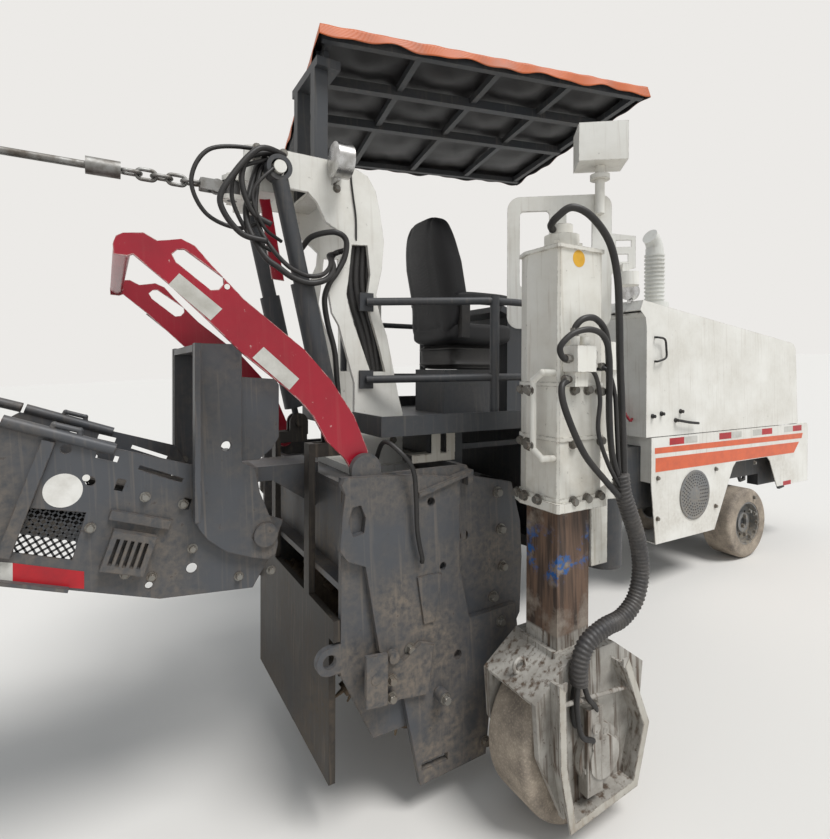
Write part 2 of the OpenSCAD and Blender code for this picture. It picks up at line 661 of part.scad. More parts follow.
// Roof of the fork and wall of the motor guard, in X and Z
fork_roof = [[-285, rear_tyre_d - 55], [-120, fork_top_z + 20], [120, fork_top_z + 20], [285, rear_tyre_d - 55]];
guard_ring = [[-215, 610], [-205, 330], [-160, 118], [160, 148], [222, 350], [110, 610]];

module column(side) {
    translate([-leg_back, side * leg_y, 0]) mirror([0, side < 0 ? 1 : 0, 0]) difference() {
        union() {
            translate([0, 0, column_bottom_z]) linear_extrude(column_top_z - column_bottom_z) column_section(0);
            translate([0, 0, column_bottom_z]) linear_extrude(34) column_section(16);
            for (z = [column_bottom_z + 34, column_bottom_z + 255, column_bottom_z + 455])
                translate([0, 0, z]) linear_extrude(14) column_section(5);
            translate([0, 0, column_top_z - 14]) linear_extrude(14) column_section(7);
            translate([7, 8, column_top_z - 1]) cylinder(d = 132, h = 62, $fn = 64);
            translate([7, 8, column_top_z + 60]) cylinder(d = 84, h = 42, $fn = 64);
            for (a = [-60, 60]) translate([7, 8, 0]) rotate(a) box([-8, 8], [50, 78], [column_top_z, column_top_z + 34]);
        }
        box([-leg_w / 2 - slide_gap, leg_w / 2 + slide_gap], [-leg_w / 2 - slide_gap, leg_w / 2 + slide_gap],
            [column_bottom_z - 1, column_top_z - 15]);
    }
}

// Section of a column: square, with its inner rear corner cut and its other corners broken
module column_section(proud) {
    h = column_w / 2 + proud;
    polygon([[-h, h - 8], [-h, -h + 62], [-h + 30, -h], [h - 8, -h], [h, -h + 8], [h, h - 8], [h - 8, h], [-h + 8, h]]);
}

module leg(side) {
    translate([0, side * leg_y, 0]) mirror([0, side < 0 ? 1 : 0, 0]) {
        color("saddlebrown") translate([-leg_back, 0, 0]) {
            box([-leg_w / 2, leg_w / 2], [-leg_w / 2, leg_w / 2], [fork_top_z - 1, leg_in_top]);
            box([-leg_w / 2 - 22, leg_w / 2 + 22], [-leg_w / 2 - 12, leg_w / 2 + 12], [fork_top_z - 1, fork_top_z + 22]);
        }
        color("gray") {
            side_plate(-fork_out, 2 * fork_out) polygon(concat(fork_roof, [for (i = [3:-1:0])
                [fork_roof[i][0] * 0.955, fork_roof[i][1] - 20]]));
            for (s = [-1, 1]) side_plate(s * (fork_out - fork_t / 2) - fork_t / 2, fork_t)
                polygon(concat(fork_roof, [[262, 350], [150, s > 0 ? 110 : 180], [-150, s > 0 ? 95 : 180], [-268, 350]]));
            cross_bar(0, [-rear_tyre_w / 2 - 13, rear_tyre_w / 2 + 13], rear_r, axle_d);
            translate([-230, 0, fork_roof[0][1] + 55]) rotate([90, 0, 0]) rotate_extrude($fn = 32)
                translate([26, 0]) circle(d = 14, $fn = 16);
        }
        color("gray") {
            // guard round the motor: a hexagonal wall with a rim in front
            side_plate(fork_out - 1, guard_deep) difference() {
                polygon(guard_ring);
                offset(delta = -12) polygon(guard_ring);
                translate([-198, 560]) square([296, 80]);
            }
            side_plate(fork_out + guard_deep - 7, 6) difference() {
                offset(delta = 20) polygon(guard_ring);
                offset(delta = -10) polygon(guard_ring);
                translate([-196, 555]) square([290, 90]);
            }
            bar([guard_ring[0][0] + 8, fork_out + guard_deep - 24, 540], [guard_ring[5][0] + 26, fork_out + guard_deep - 24, 505], 16);
        }
        color("dimgray") {
            cross_bar(0, [rear_tyre_w / 2 + 12, fork_out + 34], rear_r, 210);
            cross_bar(0, [fork_out + 33, fork_out + 58], rear_r, 150);
            box([-84, -6], [fork_out + 10, fork_out + 52], [rear_r - 120, rear_r + 190]);
            for (z = [rear_r + 60, rear_r + 120]) cross_bar(-45, [fork_out + 51, fork_out + 58], z, 40);
            for (a = [20:60:320]) translate([85 * cos(a), 0, rear_r + 85 * sin(a)])
                cross_bar(0, [fork_out + 33, fork_out + 45], 0, 22);
        }
    }
}

arm_z = [1190, 1320, 1700, 1830];
// Right face of the right column
column_out = -leg_y - column_w / 2;
module column_right() {
    color("white") column(-1);
    color("white") difference() {
        union() {
            for (z = [arm_z[0], arm_z[2]]) hull() {
                translate([swing_x, swing_y, z]) cylinder(d = 180, h = 130, $fn = 32);
                translate([column_w / 2 - leg_back - 10, -leg_y + 40, z]) cylinder(d = 100, h = 130, $fn = 32);
            }
            translate([swing_x, swing_y, swing_seat_z[1] + 2]) cylinder(d = 170, h = arm_z[3] - swing_seat_z[1] - 2, $fn = 64);
            translate([swing_x, swing_y, swing_seat_z[0]]) cylinder(d = swing_pin_d, h = 400, $fn = 64);
        }
        translate([-leg_back, -leg_y, 0]) cube([leg_w + 2 * slide_gap, leg_w + 2 * slide_gap, 5000], center = true);
    }
    // handle at the rear corner, hose plate under the column
    color("white") {
        rod([[-leg_back - column_w / 2 + 4, column_out + 20, 1690], [-204, column_out + 30, 1690], [-206, -970, 1660],
            [-206, -970, 1410], [-204, column_out + 30, 1380], [-leg_back - column_w / 2 + 4, column_out + 20, 1380]], 24);
        box([60, 150], [-1010, -1000], [942, column_bottom_z + 20]);
    }
    // valve block on the right face
    color("dimgray") {
        box([-135, -39], [column_out - 70, column_out + 1], [1693, 1787]);
        box([-125, -60], [column_out - 50, column_out + 1], [1640, 1694]);
        for (x = [-112, -64]) translate([x, column_out - 36, 1786]) cylinder(d = 34, h = 34, $fn = 32);
        for (z = [1716, 1762]) bar([-40, column_out - 34, z], [-8, column_out - 34, z], 30);
    }
}
module column_left() { color("white") column(1); }

module milling_drum() {
    picks = 32;
    body_r = drum_d / 2 - 110;
    color("saddlebrown") {
        cross_bar(drum_x, drum_y, drum_z, 2 * body_r);
        cross_bar(drum_x, [cheek_out[0] + 2, cheek_out[1] - 2], drum_z, drum_shaft_d);
        for (i = [0:picks - 1]) translate([drum_x, drum_y[0] + 20 + i * (drum_w - 40) / (picks - 1), drum_z])
            rotate([0, i * 137.5, 0]) translate([0, 0, body_r - 10]) {
                cylinder(d = 60, h = 70, $fn = 24);
                cylinder(d1 = 40, d2 = 8, h = 120, $fn = 24);
            }
    }
}

// Sliding side plates that ride on the ground beside the drum
module edge_plate(y) {
    top = [[-835, 1181], [-825, 1256], [-840, 1289], [-825, 1315], [-658, 1307], [-560, 1300], [-330, 1268]];
    color("slategray") side_plate(y, edge_plate_t) difference() {
        polygon(concat(top, [[-330, 910], [-280, 690], [-40, 700], [-20, 560], [-156, 453], [-194, 104], [-510, 95],
            [-588, 471], [-600, 610], [-656, 640], [-688, 660], [-745, 984], [-815, 1015], [-844, 1056]]));
        polygon([[-796, 1206], [-764, 1210], [-745, 1162], [-752, 1110], [-793, 1102], [-812, 1153]]);
        for (h = [[-337, 557, 36], [-466, 1187, 34], [-410, 926, 30]]) translate([h[0], h[1]]) circle(d = h[2], $fn = 48);
        translate([-505, 152]) square([120, 28]);
    }
    // bracket of the lift link, on the outside of the right plate only
    if (y < 0) color("slategray") {
        side_plate(y - 22, 23) polygon([[-745, 635], [-700, 659], [-663, 631], [-599, 613], [-522, 660], [-465, 640],
            [-487, 454], [-609, 473], [-684, 469], [-720, 517]]);
        side_plate(y - 60, 16) polygon([[-769, 505], [-769, 690], [-684, 680], [-684, 495]]);
        cross_bar(-730, [y - 61, y - 5], 600, 40);
        cross_bar(-642, [y - 34, y - 5], 640, 44);
        for (z = [503, 568]) cross_bar(-652, [y - 36, y - 5], z, 32);
        cross_bar(-428, [y - 46, y + 2], 431, 50);
        side_plate(y - 8, 9) polygon([[-500, 720], [-452, 720], [-420, 900], [-450, 905], [-530, 905]]);
    }
}

hoist_y = [conveyor_y - 240, conveyor_y + 240];
hoist_low = [-740, 1440];
hoist_top = [-975, tower_top_z - 105];
hoist_barrel_len = 620;
hoist_travel = 250;
barrel_d = 92;
hoist_rod_d = 66;
eye_play = 8;
hoist_dir = [hoist_top[0] - hoist_low[0], 0, hoist_top[1] - hoist_low[1]];
hoist_unit = hoist_dir / norm(hoist_dir);

// Scraper plate behind the drum, with an arm over the housing for each cylinder
scraper_x = [housing_x[0] - slide_gap - 26, housing_x[0] - slide_gap];
module scraper() {
    color("saddlebrown") {
        box(scraper_x, [drum_y[0] + 10, drum_y[1] - 10], [180, 740]);
        box(scraper_x, [cheek_out[0] + 4, cheek_out[1] - 4], [722, 800]);
        for (y = hoist_y) {
            box(scraper_x, [y - 30, y + 30], [739, 1400]);
            difference() {
                union() {
                    box([scraper_x[0], -700], [y - 30, y + 30], [1345, 1400]);
                    cross_bar(hoist_low[0], [y - 30, y + 30], hoist_low[1], 90);
                    box([-785, -695], [y - 30, y + 30], [1380, 1440]);
                }
                box([-850, -650], [y - 16, y + 16], [1372, 1500]);
            }
            cross_bar(hoist_low[0], [y - 40, y + 40], hoist_low[1], hoist_pin_d);
        }
    }
}
hoist_pin_d = 40;

module hoist_barrels() {
    color("dimgray") for (y = hoist_y) {
        a = [hoist_low[0], y, hoist_low[1]];
        difference() {
            union() {
                bar(a + hoist_unit * 75, a + hoist_unit * hoist_barrel_len, barrel_d);
                cross_bar(a[0], [y - 15, y + 15], a[2], 76);
                bar(a + hoist_unit * 20, a + hoist_unit * 80, 30);
            }
            bar(a + hoist_unit * 90, a + hoist_unit * (hoist_barrel_len + 1), hoist_rod_d + 2 * pin_gap);
            cross_bar(a[0], [y - 20, y + 20], a[2], hoist_pin_d + 2 * pin_gap);
        }
    }
}
module hoist_rods() {
    color("dimgray") for (y = hoist_y) {
        a = [hoist_low[0], y, hoist_low[1]];
        b = [hoist_top[0], y, hoist_top[1]];
        difference() {
            union() {
                bar(a + hoist_unit * (90 + hoist_travel + 10), b - hoist_unit * 40, hoist_rod_d);
                cross_bar(b[0], [y - 30, y + 30], b[2], 100);
            }
            cross_bar(b[0], [y - 31, y + 31], b[2], pin_d + 2 * eye_play);
        }
    }
}

// Slewing frame that carries the conveyor on two side posts, and the swivel of the stay on the tower's head
lift_pivot = [-1040, 1080];
post_gap = 6;
post_t = 24;
slew_plate_z = carrier_z[1] + 0.5;
stay_pin = [-1160, 2450];
tongue_t = 16;
stay_pin_d = 30;
module slew_frame() {
    post_in = conveyor_w / 2 + post_gap;
    color("dimgray") {
        for (s = [-1, 1]) {
            side_plate(conveyor_y + s * (post_in + post_t / 2) - post_t / 2, post_t) difference() {
                polygon([[-1290, 1168], [-1263, 1120], [-1242, 1090], [-1177, 1036], [-1087, 1000], [-1030, 985],
                    [-1000, 1000], [-992, 1040], [-1000, 1100], [-1025, 1150], [-1060, 1240],
                    [-1075, 1324], [-1125, 1360], [-1126, 1790], [-1290, 1790]]);
                translate([-1180, 1420]) circle(18, $fn = 32);
            }
            // stiffening flange along the rear edge and a boss round the lift pin
            outer = conveyor_y + s * (post_in + post_t);
            box([-1292, -1272], [min(outer - s, outer + s * 46), max(outer - s, outer + s * 46)], [1168, 1789]);
            cross_bar(lift_pivot[0], [min(outer - s, outer + s * 14), max(outer - s, outer + s * 14)], lift_pivot[1], 90);
            y0 = conveyor_y + s * (conveyor_w / 2 - 14);
            y1 = conveyor_y + s * (post_in + 1);
            cross_bar(lift_pivot[0], [min(y0, y1), max(y0, y1)], lift_pivot[1], pin_d);
        }
        box([-1291, -1160], [conveyor_y - post_in - 1, conveyor_y + post_in + 1], [1760, 1785]);
        box([-1180, -1062], [conveyor_y - post_in - 1, conveyor_y + post_in + 1], [slew_plate_z, slew_plate_z + 30]);
        side_plate(conveyor_y - post_in - 9, 8)
            polygon([[-1130, 1360], [-1130, 1671], [-1000, 1662], [-985, 1640], [-985, 1440], [-1010, 1400], [-1060, 1360]]);
        translate([slew_x, conveyor_y, carrier_z[0] - 8]) cylinder(d = slew_pin_d, h = slew_plate_z + 1 - carrier_z[0] + 8, $fn = 64);
        translate([slew_x, conveyor_y, swivel_z[0]]) cylinder(d = 66, h = swivel_z[1] - swivel_z[0], $fn = 48);
        translate([slew_x, conveyor_y, swivel_z[0] - lug_t]) cylinder(d = swivel_pin_d, h = swivel_z[1] - swivel_z[0] + 2 * lug_t, $fn = 48);
        side_plate(conveyor_y - tongue_t / 2, tongue_t) difference() {
            union() {
                translate(stay_pin) circle(28, $fn = 48);
                polygon([[slew_x, stay_pin[1] - 28], [slew_x, stay_pin[1] + 28], [stay_pin[0], stay_pin[1] + 28],
                    [stay_pin[0], stay_pin[1] - 28]]);
            }
            translate(stay_pin) circle(stay_pin_d / 2 + pin_gap, $fn = 48);
        }
    }
}

module along_conveyor() {
    translate([lift_pivot[0], conveyor_y, lift_pivot[1]]) rotate([0, conveyor_rise, 0]) children();
}
belt_r = 75;
belt_mid = -15;
pulley_x = [-conveyor_len + 160, -70];
belt_w = conveyor_w - 90;
seat_gap = 0.3;
stay_lug_back = 1580;
tube_d = 38;
bay_count = 6;
bay_pitch = (conveyor_len - 1400) / bay_count;
// Openings in a side plate: slots as place, length, height and turn, then holes, then the large window
side_slots = [[-588, 148, 66, 20, 0], [-413, 131, 150, 16, -5], [-523, 68, 26, 40, 0], [-300, 50, 26, 40, 0]];
side_holes = [[-708, 145, 30], [-611, 62, 30], [-211, -165, 36], [-330, -240, 24]];
side_window = [[-775, -55], [-590, -37], [-580, -190], [-740, -190]];
stay_lug = [stay_lug_back - conveyor_len, 240];
module stadium(r) {
    for (x = pulley_x) translate([x, belt_mid]) circle(r, $fn = 64);
    translate([pulley_x[0], belt_mid - r]) square([pulley_x[1] - pulley_x[0], 2 * r]);
}
module conveyor_side() {
    difference() {
        union() {
            polygon([[27, -205], [60, -60], [60, 60], [-200, 72], [-320, 185], [-900, 178], [-1000, 60],
                [-conveyor_len, 60], [-conveyor_len, -200], [-1700, -288], [-740, -284], [-281, -280]]);
        }
        circle(pin_d / 2 + pin_gap, $fn = 48);
        for (h = side_slots) translate([h[0], h[1]]) rotate(h[4]) translate([-h[2] / 2, -h[3] / 2]) square([h[2], h[3]]);
        for (h = side_holes) translate([h[0], h[1]]) circle(d = h[2], $fn = 32);
        polygon(side_window);
        for (i = [0:bay_count - 1]) let (x = -1180 - i * bay_pitch) polygon([[x, -180], [x, -130],
            [x - bay_pitch + 140, -130], [x - bay_pitch + 140, -180]]);
    }
}

module conveyor_frame() {
    half = conveyor_w / 2;
    color("slategray") along_conveyor() {
        for (s = [-1, 1]) {
            side_plate(s * (half - conveyor_t / 2) - conveyor_t / 2, conveyor_t) conveyor_side();
            // top tube and its posts, from the loading end to the tail
            out = s * (half + 1);
            bar([-575, out, 178], [-900, out, 188], tube_d);
            bar([-900, out, 188], [-conveyor_len + 40, out, 165], tube_d);
            translate([-900, out, 188]) sphere(d = tube_d + 2, $fn = 32);
            for (i = [0:bay_count]) let (x = -1060 - i * (conveyor_len - 1160) / bay_count)
                bar([x, out, 172], [x - 20, out, 40], tube_d * 0.8);
            // strut over the window, handle and strip
            box([-778, -742], s > 0 ? [half - 1, half + 20] : [-half - 20, -half + 1], [-205, 160]);
            box([-522, -330], s > 0 ? [half - 1, half + 16] : [-half - 16, -half + 1], [-44, -12]);
            rod([[-770, out, 180], [-762, out, 212], [-690, out, 212], [-678, out, 178]], 18);
            // lower flange
            box([-1690, -560], s > 0 ? [half - 1, half + 24] : [-half - 24, -half + 1], [-284, -272]);
            // box of a step, with its slots
            translate([-362, 0, -70]) difference() {
                box([-135, 0], s > 0 ? [half - 1, half + 40] : [-half - 40, -half + 1], [-133, 0]);
                for (k = [0:4]) box([-118 + k * 22, -107 + k * 22], s > 0 ? [half + 8, half + 41] : [-half - 41, -half - 8], [-110, -24]);
            }
        }
        for (x = pulley_x) {
            cross_bar(x, [-half + 1, half - 1], belt_mid, 40);
            cross_bar(x, [-belt_w / 2, belt_w / 2], belt_mid, 2 * (belt_r - belt_t - seat_gap));
        }
        for (i = [0:4]) translate([-840 - i * (conveyor_len - 1600) / 4, 0, 0])
            box([0, 60], [-half + 1, half - 1], [-180, -110]);
        for (y = [-36, 24]) side_plate(y, 12) polygon([[stay_lug[0] - 50, 130], [stay_lug[0] + 50, 130],
            [stay_lug[0] + 30, stay_lug[1] + 35], [stay_lug[0] - 30, stay_lug[1] + 35]]);
        box([stay_lug[0] - 40, stay_lug[0] + 40], [-half - 12, half + 12], [128, 162]);
    }
}
module conveyor_belt() {
    color("black") along_conveyor() side_plate(-belt_w / 2, belt_w) difference() {
        stadium(belt_r);
        stadium(belt_r - belt_t);
    }
}

// Stay from the swivel on the tower to the lug on the conveyor
function from_conveyor(p) = [lift_pivot[0] + p[0] * cos(conveyor_rise) + p[1] * sin(conveyor_rise),
    lift_pivot[1] - p[0] * sin(conveyor_rise) + p[1] * cos(conveyor_rise)];
stay_end = from_conveyor(stay_lug);
stay_d = 28;
link_count = 5;
link_pitch = 54;
link_d = 15;
link_w = 38;
chain_len = 70 + link_count * link_pitch;
module stay_rod() {
    a = [stay_pin[0], conveyor_y, stay_pin[1]];
    b = [stay_end[0], conveyor_y, stay_end[1]];
    u = (b - a) / norm(b - a);
    tilt = atan2(a[2] - b[2], a[0] - b[0]);
    color("gray") {
        bar(a + u * (chain_len + 110), b - u * 20, stay_d);
        bar(a + u * (chain_len + 6), a + u * (chain_len + 120), 64);
        // links turned a quarter turn from each to the next
        for (i = [0:link_count - 1]) translate(a + u * (70 + i * link_pitch + link_pitch / 2)) rotate([0, -tilt, 0])
            rotate([90 * (i % 2), 0, 0]) chain_link();
        for (y = [conveyor_y - tongue_t / 2 - 18, conveyor_y + tongue_t / 2 + 6]) side_plate(y, 12)
            union() {
                translate(stay_pin) circle(26, $fn = 48);
                polygon([[stay_pin[0], stay_pin[1] - 22], [stay_pin[0], stay_pin[1] + 22],
                    [stay_pin[0] - 60, stay_pin[1] + 22], [stay_pin[0] - 60, stay_pin[1] - 22]]);
            }
        box([stay_pin[0] - 66, stay_pin[0] - 46], [conveyor_y - tongue_t / 2 - 18, conveyor_y + tongue_t / 2 + 18],
            [stay_pin[1] - 21, stay_pin[1] + 21]);
        cross_bar(stay_pin[0], [conveyor_y - tongue_t / 2 - 7, conveyor_y + tongue_t / 2 + 7], stay_pin[1], stay_pin_d);
        cross_bar(stay_end[0], [conveyor_y - 16, conveyor_y + 16], stay_end[1], 50);
    }
}

// One link: two straight bars joined by half rings, drawn along X
module chain_link() {
    half = link_pitch / 2 + link_d / 2 + 0.15 - link_w / 2;
    for (s = [-1, 1]) {
        translate([-half, s * (link_w / 2), 0]) rotate([0, 90, 0]) cylinder(d = link_d, h = 2 * half, $fn = 16);
        translate([s * half, 0, 0]) rotate(-s * 90) rotate_extrude(angle = 180, $fn = 32) translate([link_w / 2, 0]) circle(d = link_d, $fn = 16);
    }
}

module bow_outline() {
    difference() {
        union() {
            polygon([[-768, 1318], [-703, 1329], [-709, 1396], [-765, 1528], [-853, 1657], [-952, 1766], [-1162, 1931],
                [-1265, 2035], [-1312, 2088], [-1352, 2105], [-1384, 2098], [-1419, 2091], [-1458, 2111],
                [-1512, 2103], [-1530, 2092], [-1538, 2067], [-1536, 2038], [-1501, 2036], [-1485, 2043],
                [-1384, 1959], [-1289, 1870], [-1162, 1748], [-1025, 1638], [-967, 1587], [-922, 1535],
                [-870, 1440], [-800, 1372]]);
            translate(bow_pivot) circle(44, $fn = 48);
        }
        translate(bow_pivot) circle(pin_d / 2 + pin_gap, $fn = 48);
        polygon([[-1379, 2055], [-1362, 2072], [-1342, 2074], [-1226, 1996], [-1224, 1976], [-1240, 1956],
            [-1265, 1952], [-1367, 2031]]);
    }
}

module guard_bow() {
    color("crimson") {
        for (y = bow_y) side_plate(y, bow_t) bow_outline();
        cross_bar(-1512, [bow_y[0] + 1, bow_y[1] + bow_t - 1], 2068, 50);
    }
}

module hose_bundle() {
    y = column_out;
    color("black") {
        hose([[-82, y + 107, column_top_z + 80], [-106, y + 90, column_top_z + 92], [-112, y + 50, 2268],
            [-80, y + 10, 2296], [-10, y - 16, 2268], [80, y - 24, 2184], [124, y - 26, 2060], [137, y - 26, 1900],
            [140, y - 28, 1740], [144, y - 34, 1560], [134, y - 50, 1390], [126, y - 60, 1250]], 28);
        hose([[-112, y - 36, 1822.2], [-112, y - 40, 1856], [-80, y - 50, 1884], [-20, y - 52, 1884], [36, y - 50, 1830],
            [54, y - 48, 1700], [54, y - 50, 1520], [70, y - 56, 1360], [108, y - 60, 1240]], 24);
        hose([[-136.7, y - 40, 1740], [-180, y - 46, 1742], [-204, y - 56, 1780], [-160, y - 72, 1826],
            [-87, y - 86, 1842], [-12, y - 80, 1818], [22, y - 76, 1740], [26, y - 74, 1560], [46, y - 70, 1400],
            [100, y - 64, 1270]], 22);
        hose([[-129.4, y - 26, 1666], [-180, y - 40, 1640], [-180, y - 58, 1560], [-106, y - 74, 1408], [4, y - 76, 1300],
            [84, y - 72, 1232]], 24);
        // wrapped conduit that brings the lines down to the wheel motor
        hose([[110, y - 62, 1290], [142, y - 66, 1180], [186, y - 74, 1060], [200, y - 80, 940], [164, y - 84, 840],
            [90, y - 82, 784], [0, y - 78, 768], [-80, y - 70, 728], [-112, y - 66, 660], [-112, y - 64, 585]], 64, 2,
            [0, 1, 0], 12);
        hose([[-112, y - 56, 600], [-116, y - 43, 540], [-118, y - 43, 480], [-112, y - 45, 434], [-89.6, y - 47, 420]], 20);
    }
}
module tower_hoses() {
    y = tower_y[0];
    lean = [0.8, 0.6, 0];
    color("black") {
        hose([[head_x + 70, y - 24, tower_top_z - 42], [head_x + 60, y - 50, tower_top_z - 44],
            [-1090, y - 86, tower_top_z - 90], [-1120, y - 96, 2400], [-1080, y - 96, 2290], [-1010, y - 100, 2250]],
            22, 2, lean);
        hose([[head_x + 110, y - 24.7, tower_top_z - 42], [head_x + 104, y - 60, tower_top_z - 44],
            [-1060, y - 110, tower_top_z - 60], [-1160, y - 120, 2400], [-1200, y - 120, 2300],
            [-1130, y - 120, 2200], [-1030, y - 118, 2180]], 22, 2, lean);
        hose([[-700, y - 5.2, 2340], [-698, y - 20, 2352], [-660, y - 24, 2400], [-600, y - 24, 2400],
            [-575, y - 24, 2330], [-580, y - 20, 2290], [-582, y - 3.6, 2280]], 24, 2, lean);
        hose([[-680, y - 1, 1960], [-682, y - 20, 1970], [-700, y - 26, 2060], [-664, y - 28, 2140],
            [-634, y - 26, 2060], [-632, y - 24, 1900], [-634, y - 20, 1800], [-636, y - 1.8, 1790]], 20, 2, lean);
    }
}

stance() main_frame();
stance() swing_bracket();
stance() drum_housing();
stance() lower_body();
stance() hood();
stance() engine();
stance() air_duct();
stance() tower();
stance() canopy_frame();
stance() canopy_cover();
stance() platform();
stance() handrails();
stance() seat();
stance() console();
stance() hoop();
stance() tower_lamp();
stance() hood_lamp();
stance() front_axle();
stance() knuckle(-1);  // knuckle_right
stance() knuckle(1);  // knuckle_left
color("dimgray") stance() front_tyre(-1);  // tyre_front_right
color("gray") stance() front_rim(-1);  // rim_front_right
color("dimgray") stance() front_tyre(1);  // tyre_front_left
color("gray") stance() front_rim(1);  // rim_front_left
color("dimgray") stance() rear_tyre(-1);  // tyre_rear_right
color("gray") stance() rear_rim(-1);  // rim_rear_right
color("dimgray") stance() rear_tyre(1);  // tyre_rear_left
color("gray") stance() rear_rim(1);  // rim_rear_left
stance() column_right();
stance() leg(-1);  // leg_right
stance() column_left();
stance() leg(1);  // leg_left
stance() milling_drum();
stance() edge_plate(cheek_out[0] - edge_plate_t - slide_gap);  // edge_plate_right
stance() edge_plate(cheek_out[1] + slide_gap);  // edge_plate_left
stance() scraper();
stance() hoist_barrels();
stance() hoist_rods();
stance() slew_frame();
stance() conveyor_frame();
stance() conveyor_belt();
stance() stay_rod();
stance() guard_bow();
stance() hose_bundle();
stance() tower_hoses();
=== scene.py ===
# %% [markdown]
# A small cold planer, dressed for a picture.
#
# This lesson adds the camera, the light, the finish of each piece, and the soft and small pieces that a
# solid modeller leaves out, such as the tarpaulin, the seat cushion, bolts and stripes.

# %% Load the frame
import math

import bmesh
import bpy
import numpy as np
from mathutils import Matrix, Vector
from mathutils.bvhtree import BVHTree


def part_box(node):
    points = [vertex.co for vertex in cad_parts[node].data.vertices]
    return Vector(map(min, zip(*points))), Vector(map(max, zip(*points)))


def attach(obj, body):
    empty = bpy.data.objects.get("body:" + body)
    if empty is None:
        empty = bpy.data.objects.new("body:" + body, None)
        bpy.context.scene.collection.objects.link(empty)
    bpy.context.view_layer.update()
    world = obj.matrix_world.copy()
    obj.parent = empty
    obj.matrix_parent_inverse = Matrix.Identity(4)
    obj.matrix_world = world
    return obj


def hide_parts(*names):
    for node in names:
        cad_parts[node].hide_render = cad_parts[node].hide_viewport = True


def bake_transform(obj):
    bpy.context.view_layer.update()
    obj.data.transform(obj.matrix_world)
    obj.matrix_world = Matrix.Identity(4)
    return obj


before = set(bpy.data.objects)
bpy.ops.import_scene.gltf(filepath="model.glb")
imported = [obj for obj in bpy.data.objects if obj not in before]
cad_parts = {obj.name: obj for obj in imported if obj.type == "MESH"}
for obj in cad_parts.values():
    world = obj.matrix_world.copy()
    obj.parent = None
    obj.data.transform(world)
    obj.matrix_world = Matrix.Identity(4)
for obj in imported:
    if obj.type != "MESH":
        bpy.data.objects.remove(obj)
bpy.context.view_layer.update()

# %% [markdown]
# The chassis stands nose down, because the rear legs are extended. Every place on the machine is easier to
# read along the chassis than along the floor, so one function turns a place on the chassis, in millimetres,
# into metres on the floor: turn about the cross axis by the rake, then move the rear axle forward.

# %% From the chassis to the floor
RAKE = math.radians(2.834457606)
REAR_AXLE = np.array([0.9, 0.0, 0.3])
TURN = np.array([[math.cos(RAKE), 0, math.sin(RAKE)], [0, 1, 0], [-math.sin(RAKE), 0, math.cos(RAKE)]])


def to_floor(points):
    """Chassis millimetres to floor metres: (p - (0, 0, 300)) / 1000, turned by the rake, plus REAR_AXLE."""
    p = (np.asarray(points, dtype=float) - [0, 0, 300]) / 1000
    return p @ TURN.T + REAR_AXLE


print("front axle stands at", to_floor([3030, 0, 435]).round(3))

# %% [markdown]
# The camera repeats the photographer's place: close to the right rear wheel, at eye height, with a wide
# lens. The lens and the shift come from the vanishing points of the machine's long edges; the shift stands
# for a picture that was levelled and cut lower than its own middle.

# %% Camera
HEADING = 1.0402
PITCH = -0.0079
ROLL = 0.0033
EYE = [-1558, -2419, 1700]
LENS = 22.676
SHIFT = -0.0547

look = np.array([math.cos(HEADING) * math.cos(PITCH), math.sin(HEADING) * math.cos(PITCH), math.sin(PITCH)])
right = np.array([math.sin(HEADING), -math.cos(HEADING), 0])
above = np.cross(right, look)
right, above = (right * math.cos(ROLL) + above * math.sin(ROLL),
                above * math.cos(ROLL) - right * math.sin(ROLL))
axes = np.stack([right, above, -look], axis=1)
place = np.eye(4)
place[:3, :3] = TURN @ axes
place[:3, 3] = to_floor(EYE)
camera = bpy.data.objects.new("camera", bpy.data.cameras.new("camera"))
camera.matrix_world = Matrix(place.tolist())
camera.data.sensor_width = 36
camera.data.lens = LENS
camera.data.shift_y = SHIFT
camera.data.clip_end = 200
bpy.context.scene.collection.objects.link(camera)
bpy.context.scene.camera = camera
print("camera at", place[:3, 3].round(3))

# %% [markdown]
# Colours are written as a painter reads them, in sRGB hex, and one function turns them into the linear
# values that the shader wants. One more small function adds a node, sets it up, links it and hands back its
# output, so that a material reads as a recipe.

# %% Colours and shader nodes


def linear(hex_colour):
    """sRGB hex to linear: c / 12.92 below 0.04045, else ((c + 0.055) / 1.055) ** 2.4."""
    c = np.array([int(hex_colour[i:i + 2], 16) / 255 for i in (1, 3, 5)])
    c = np.where(c < 0.04045, c / 12.92, ((c + 0.055) / 1.055) ** 2.4)
    return (*c, 1.0)


def add(owner, kind, *values, out=0, **named):
    """Add a shader node to a material or the world and hand back one output, or the node if out is None.
    values fill the first inputs in order. A small letter begins a property of the node, a capital an input,
    with _ for a space, and i6 is input number 6. A socket is linked, and anything else is set."""
    node = owner.node_tree.nodes.new("ShaderNode" + kind)
    inputs = dict(enumerate(values))
    for name, value in named.items():
        if name[0].isupper():
            inputs[name.replace("_", " ")] = value
        elif name[1:].isdigit():
            inputs[int(name[1:])] = value
        else:
            setattr(node, name, value)
    for key, value in inputs.items():
        if isinstance(value, bpy.types.NodeSocket):
            owner.node_tree.links.new(value, node.inputs[key])
        else:
            node.inputs[key].default_value = value
    return node if out is None else node.outputs[out]


def blank(name):
    """A new material with an empty node tree."""
    material = bpy.data.materials.new(name)
    material.use_nodes = True
    material.node_tree.nodes.clear()
    return material


def finished(material, shader):
    """Link a shader to the material's output and hand the material back."""
    add(material, "OutputMaterial", shader, out=None)
    return material


# settings of a Mix node for two colours, and of a Math node that multiplies
COLOURS = {"data_type": "RGBA", "out": 2}
TIMES = {"operation": "MULTIPLY"}
print("white paint, linear:", linear("#d9d6cc"))

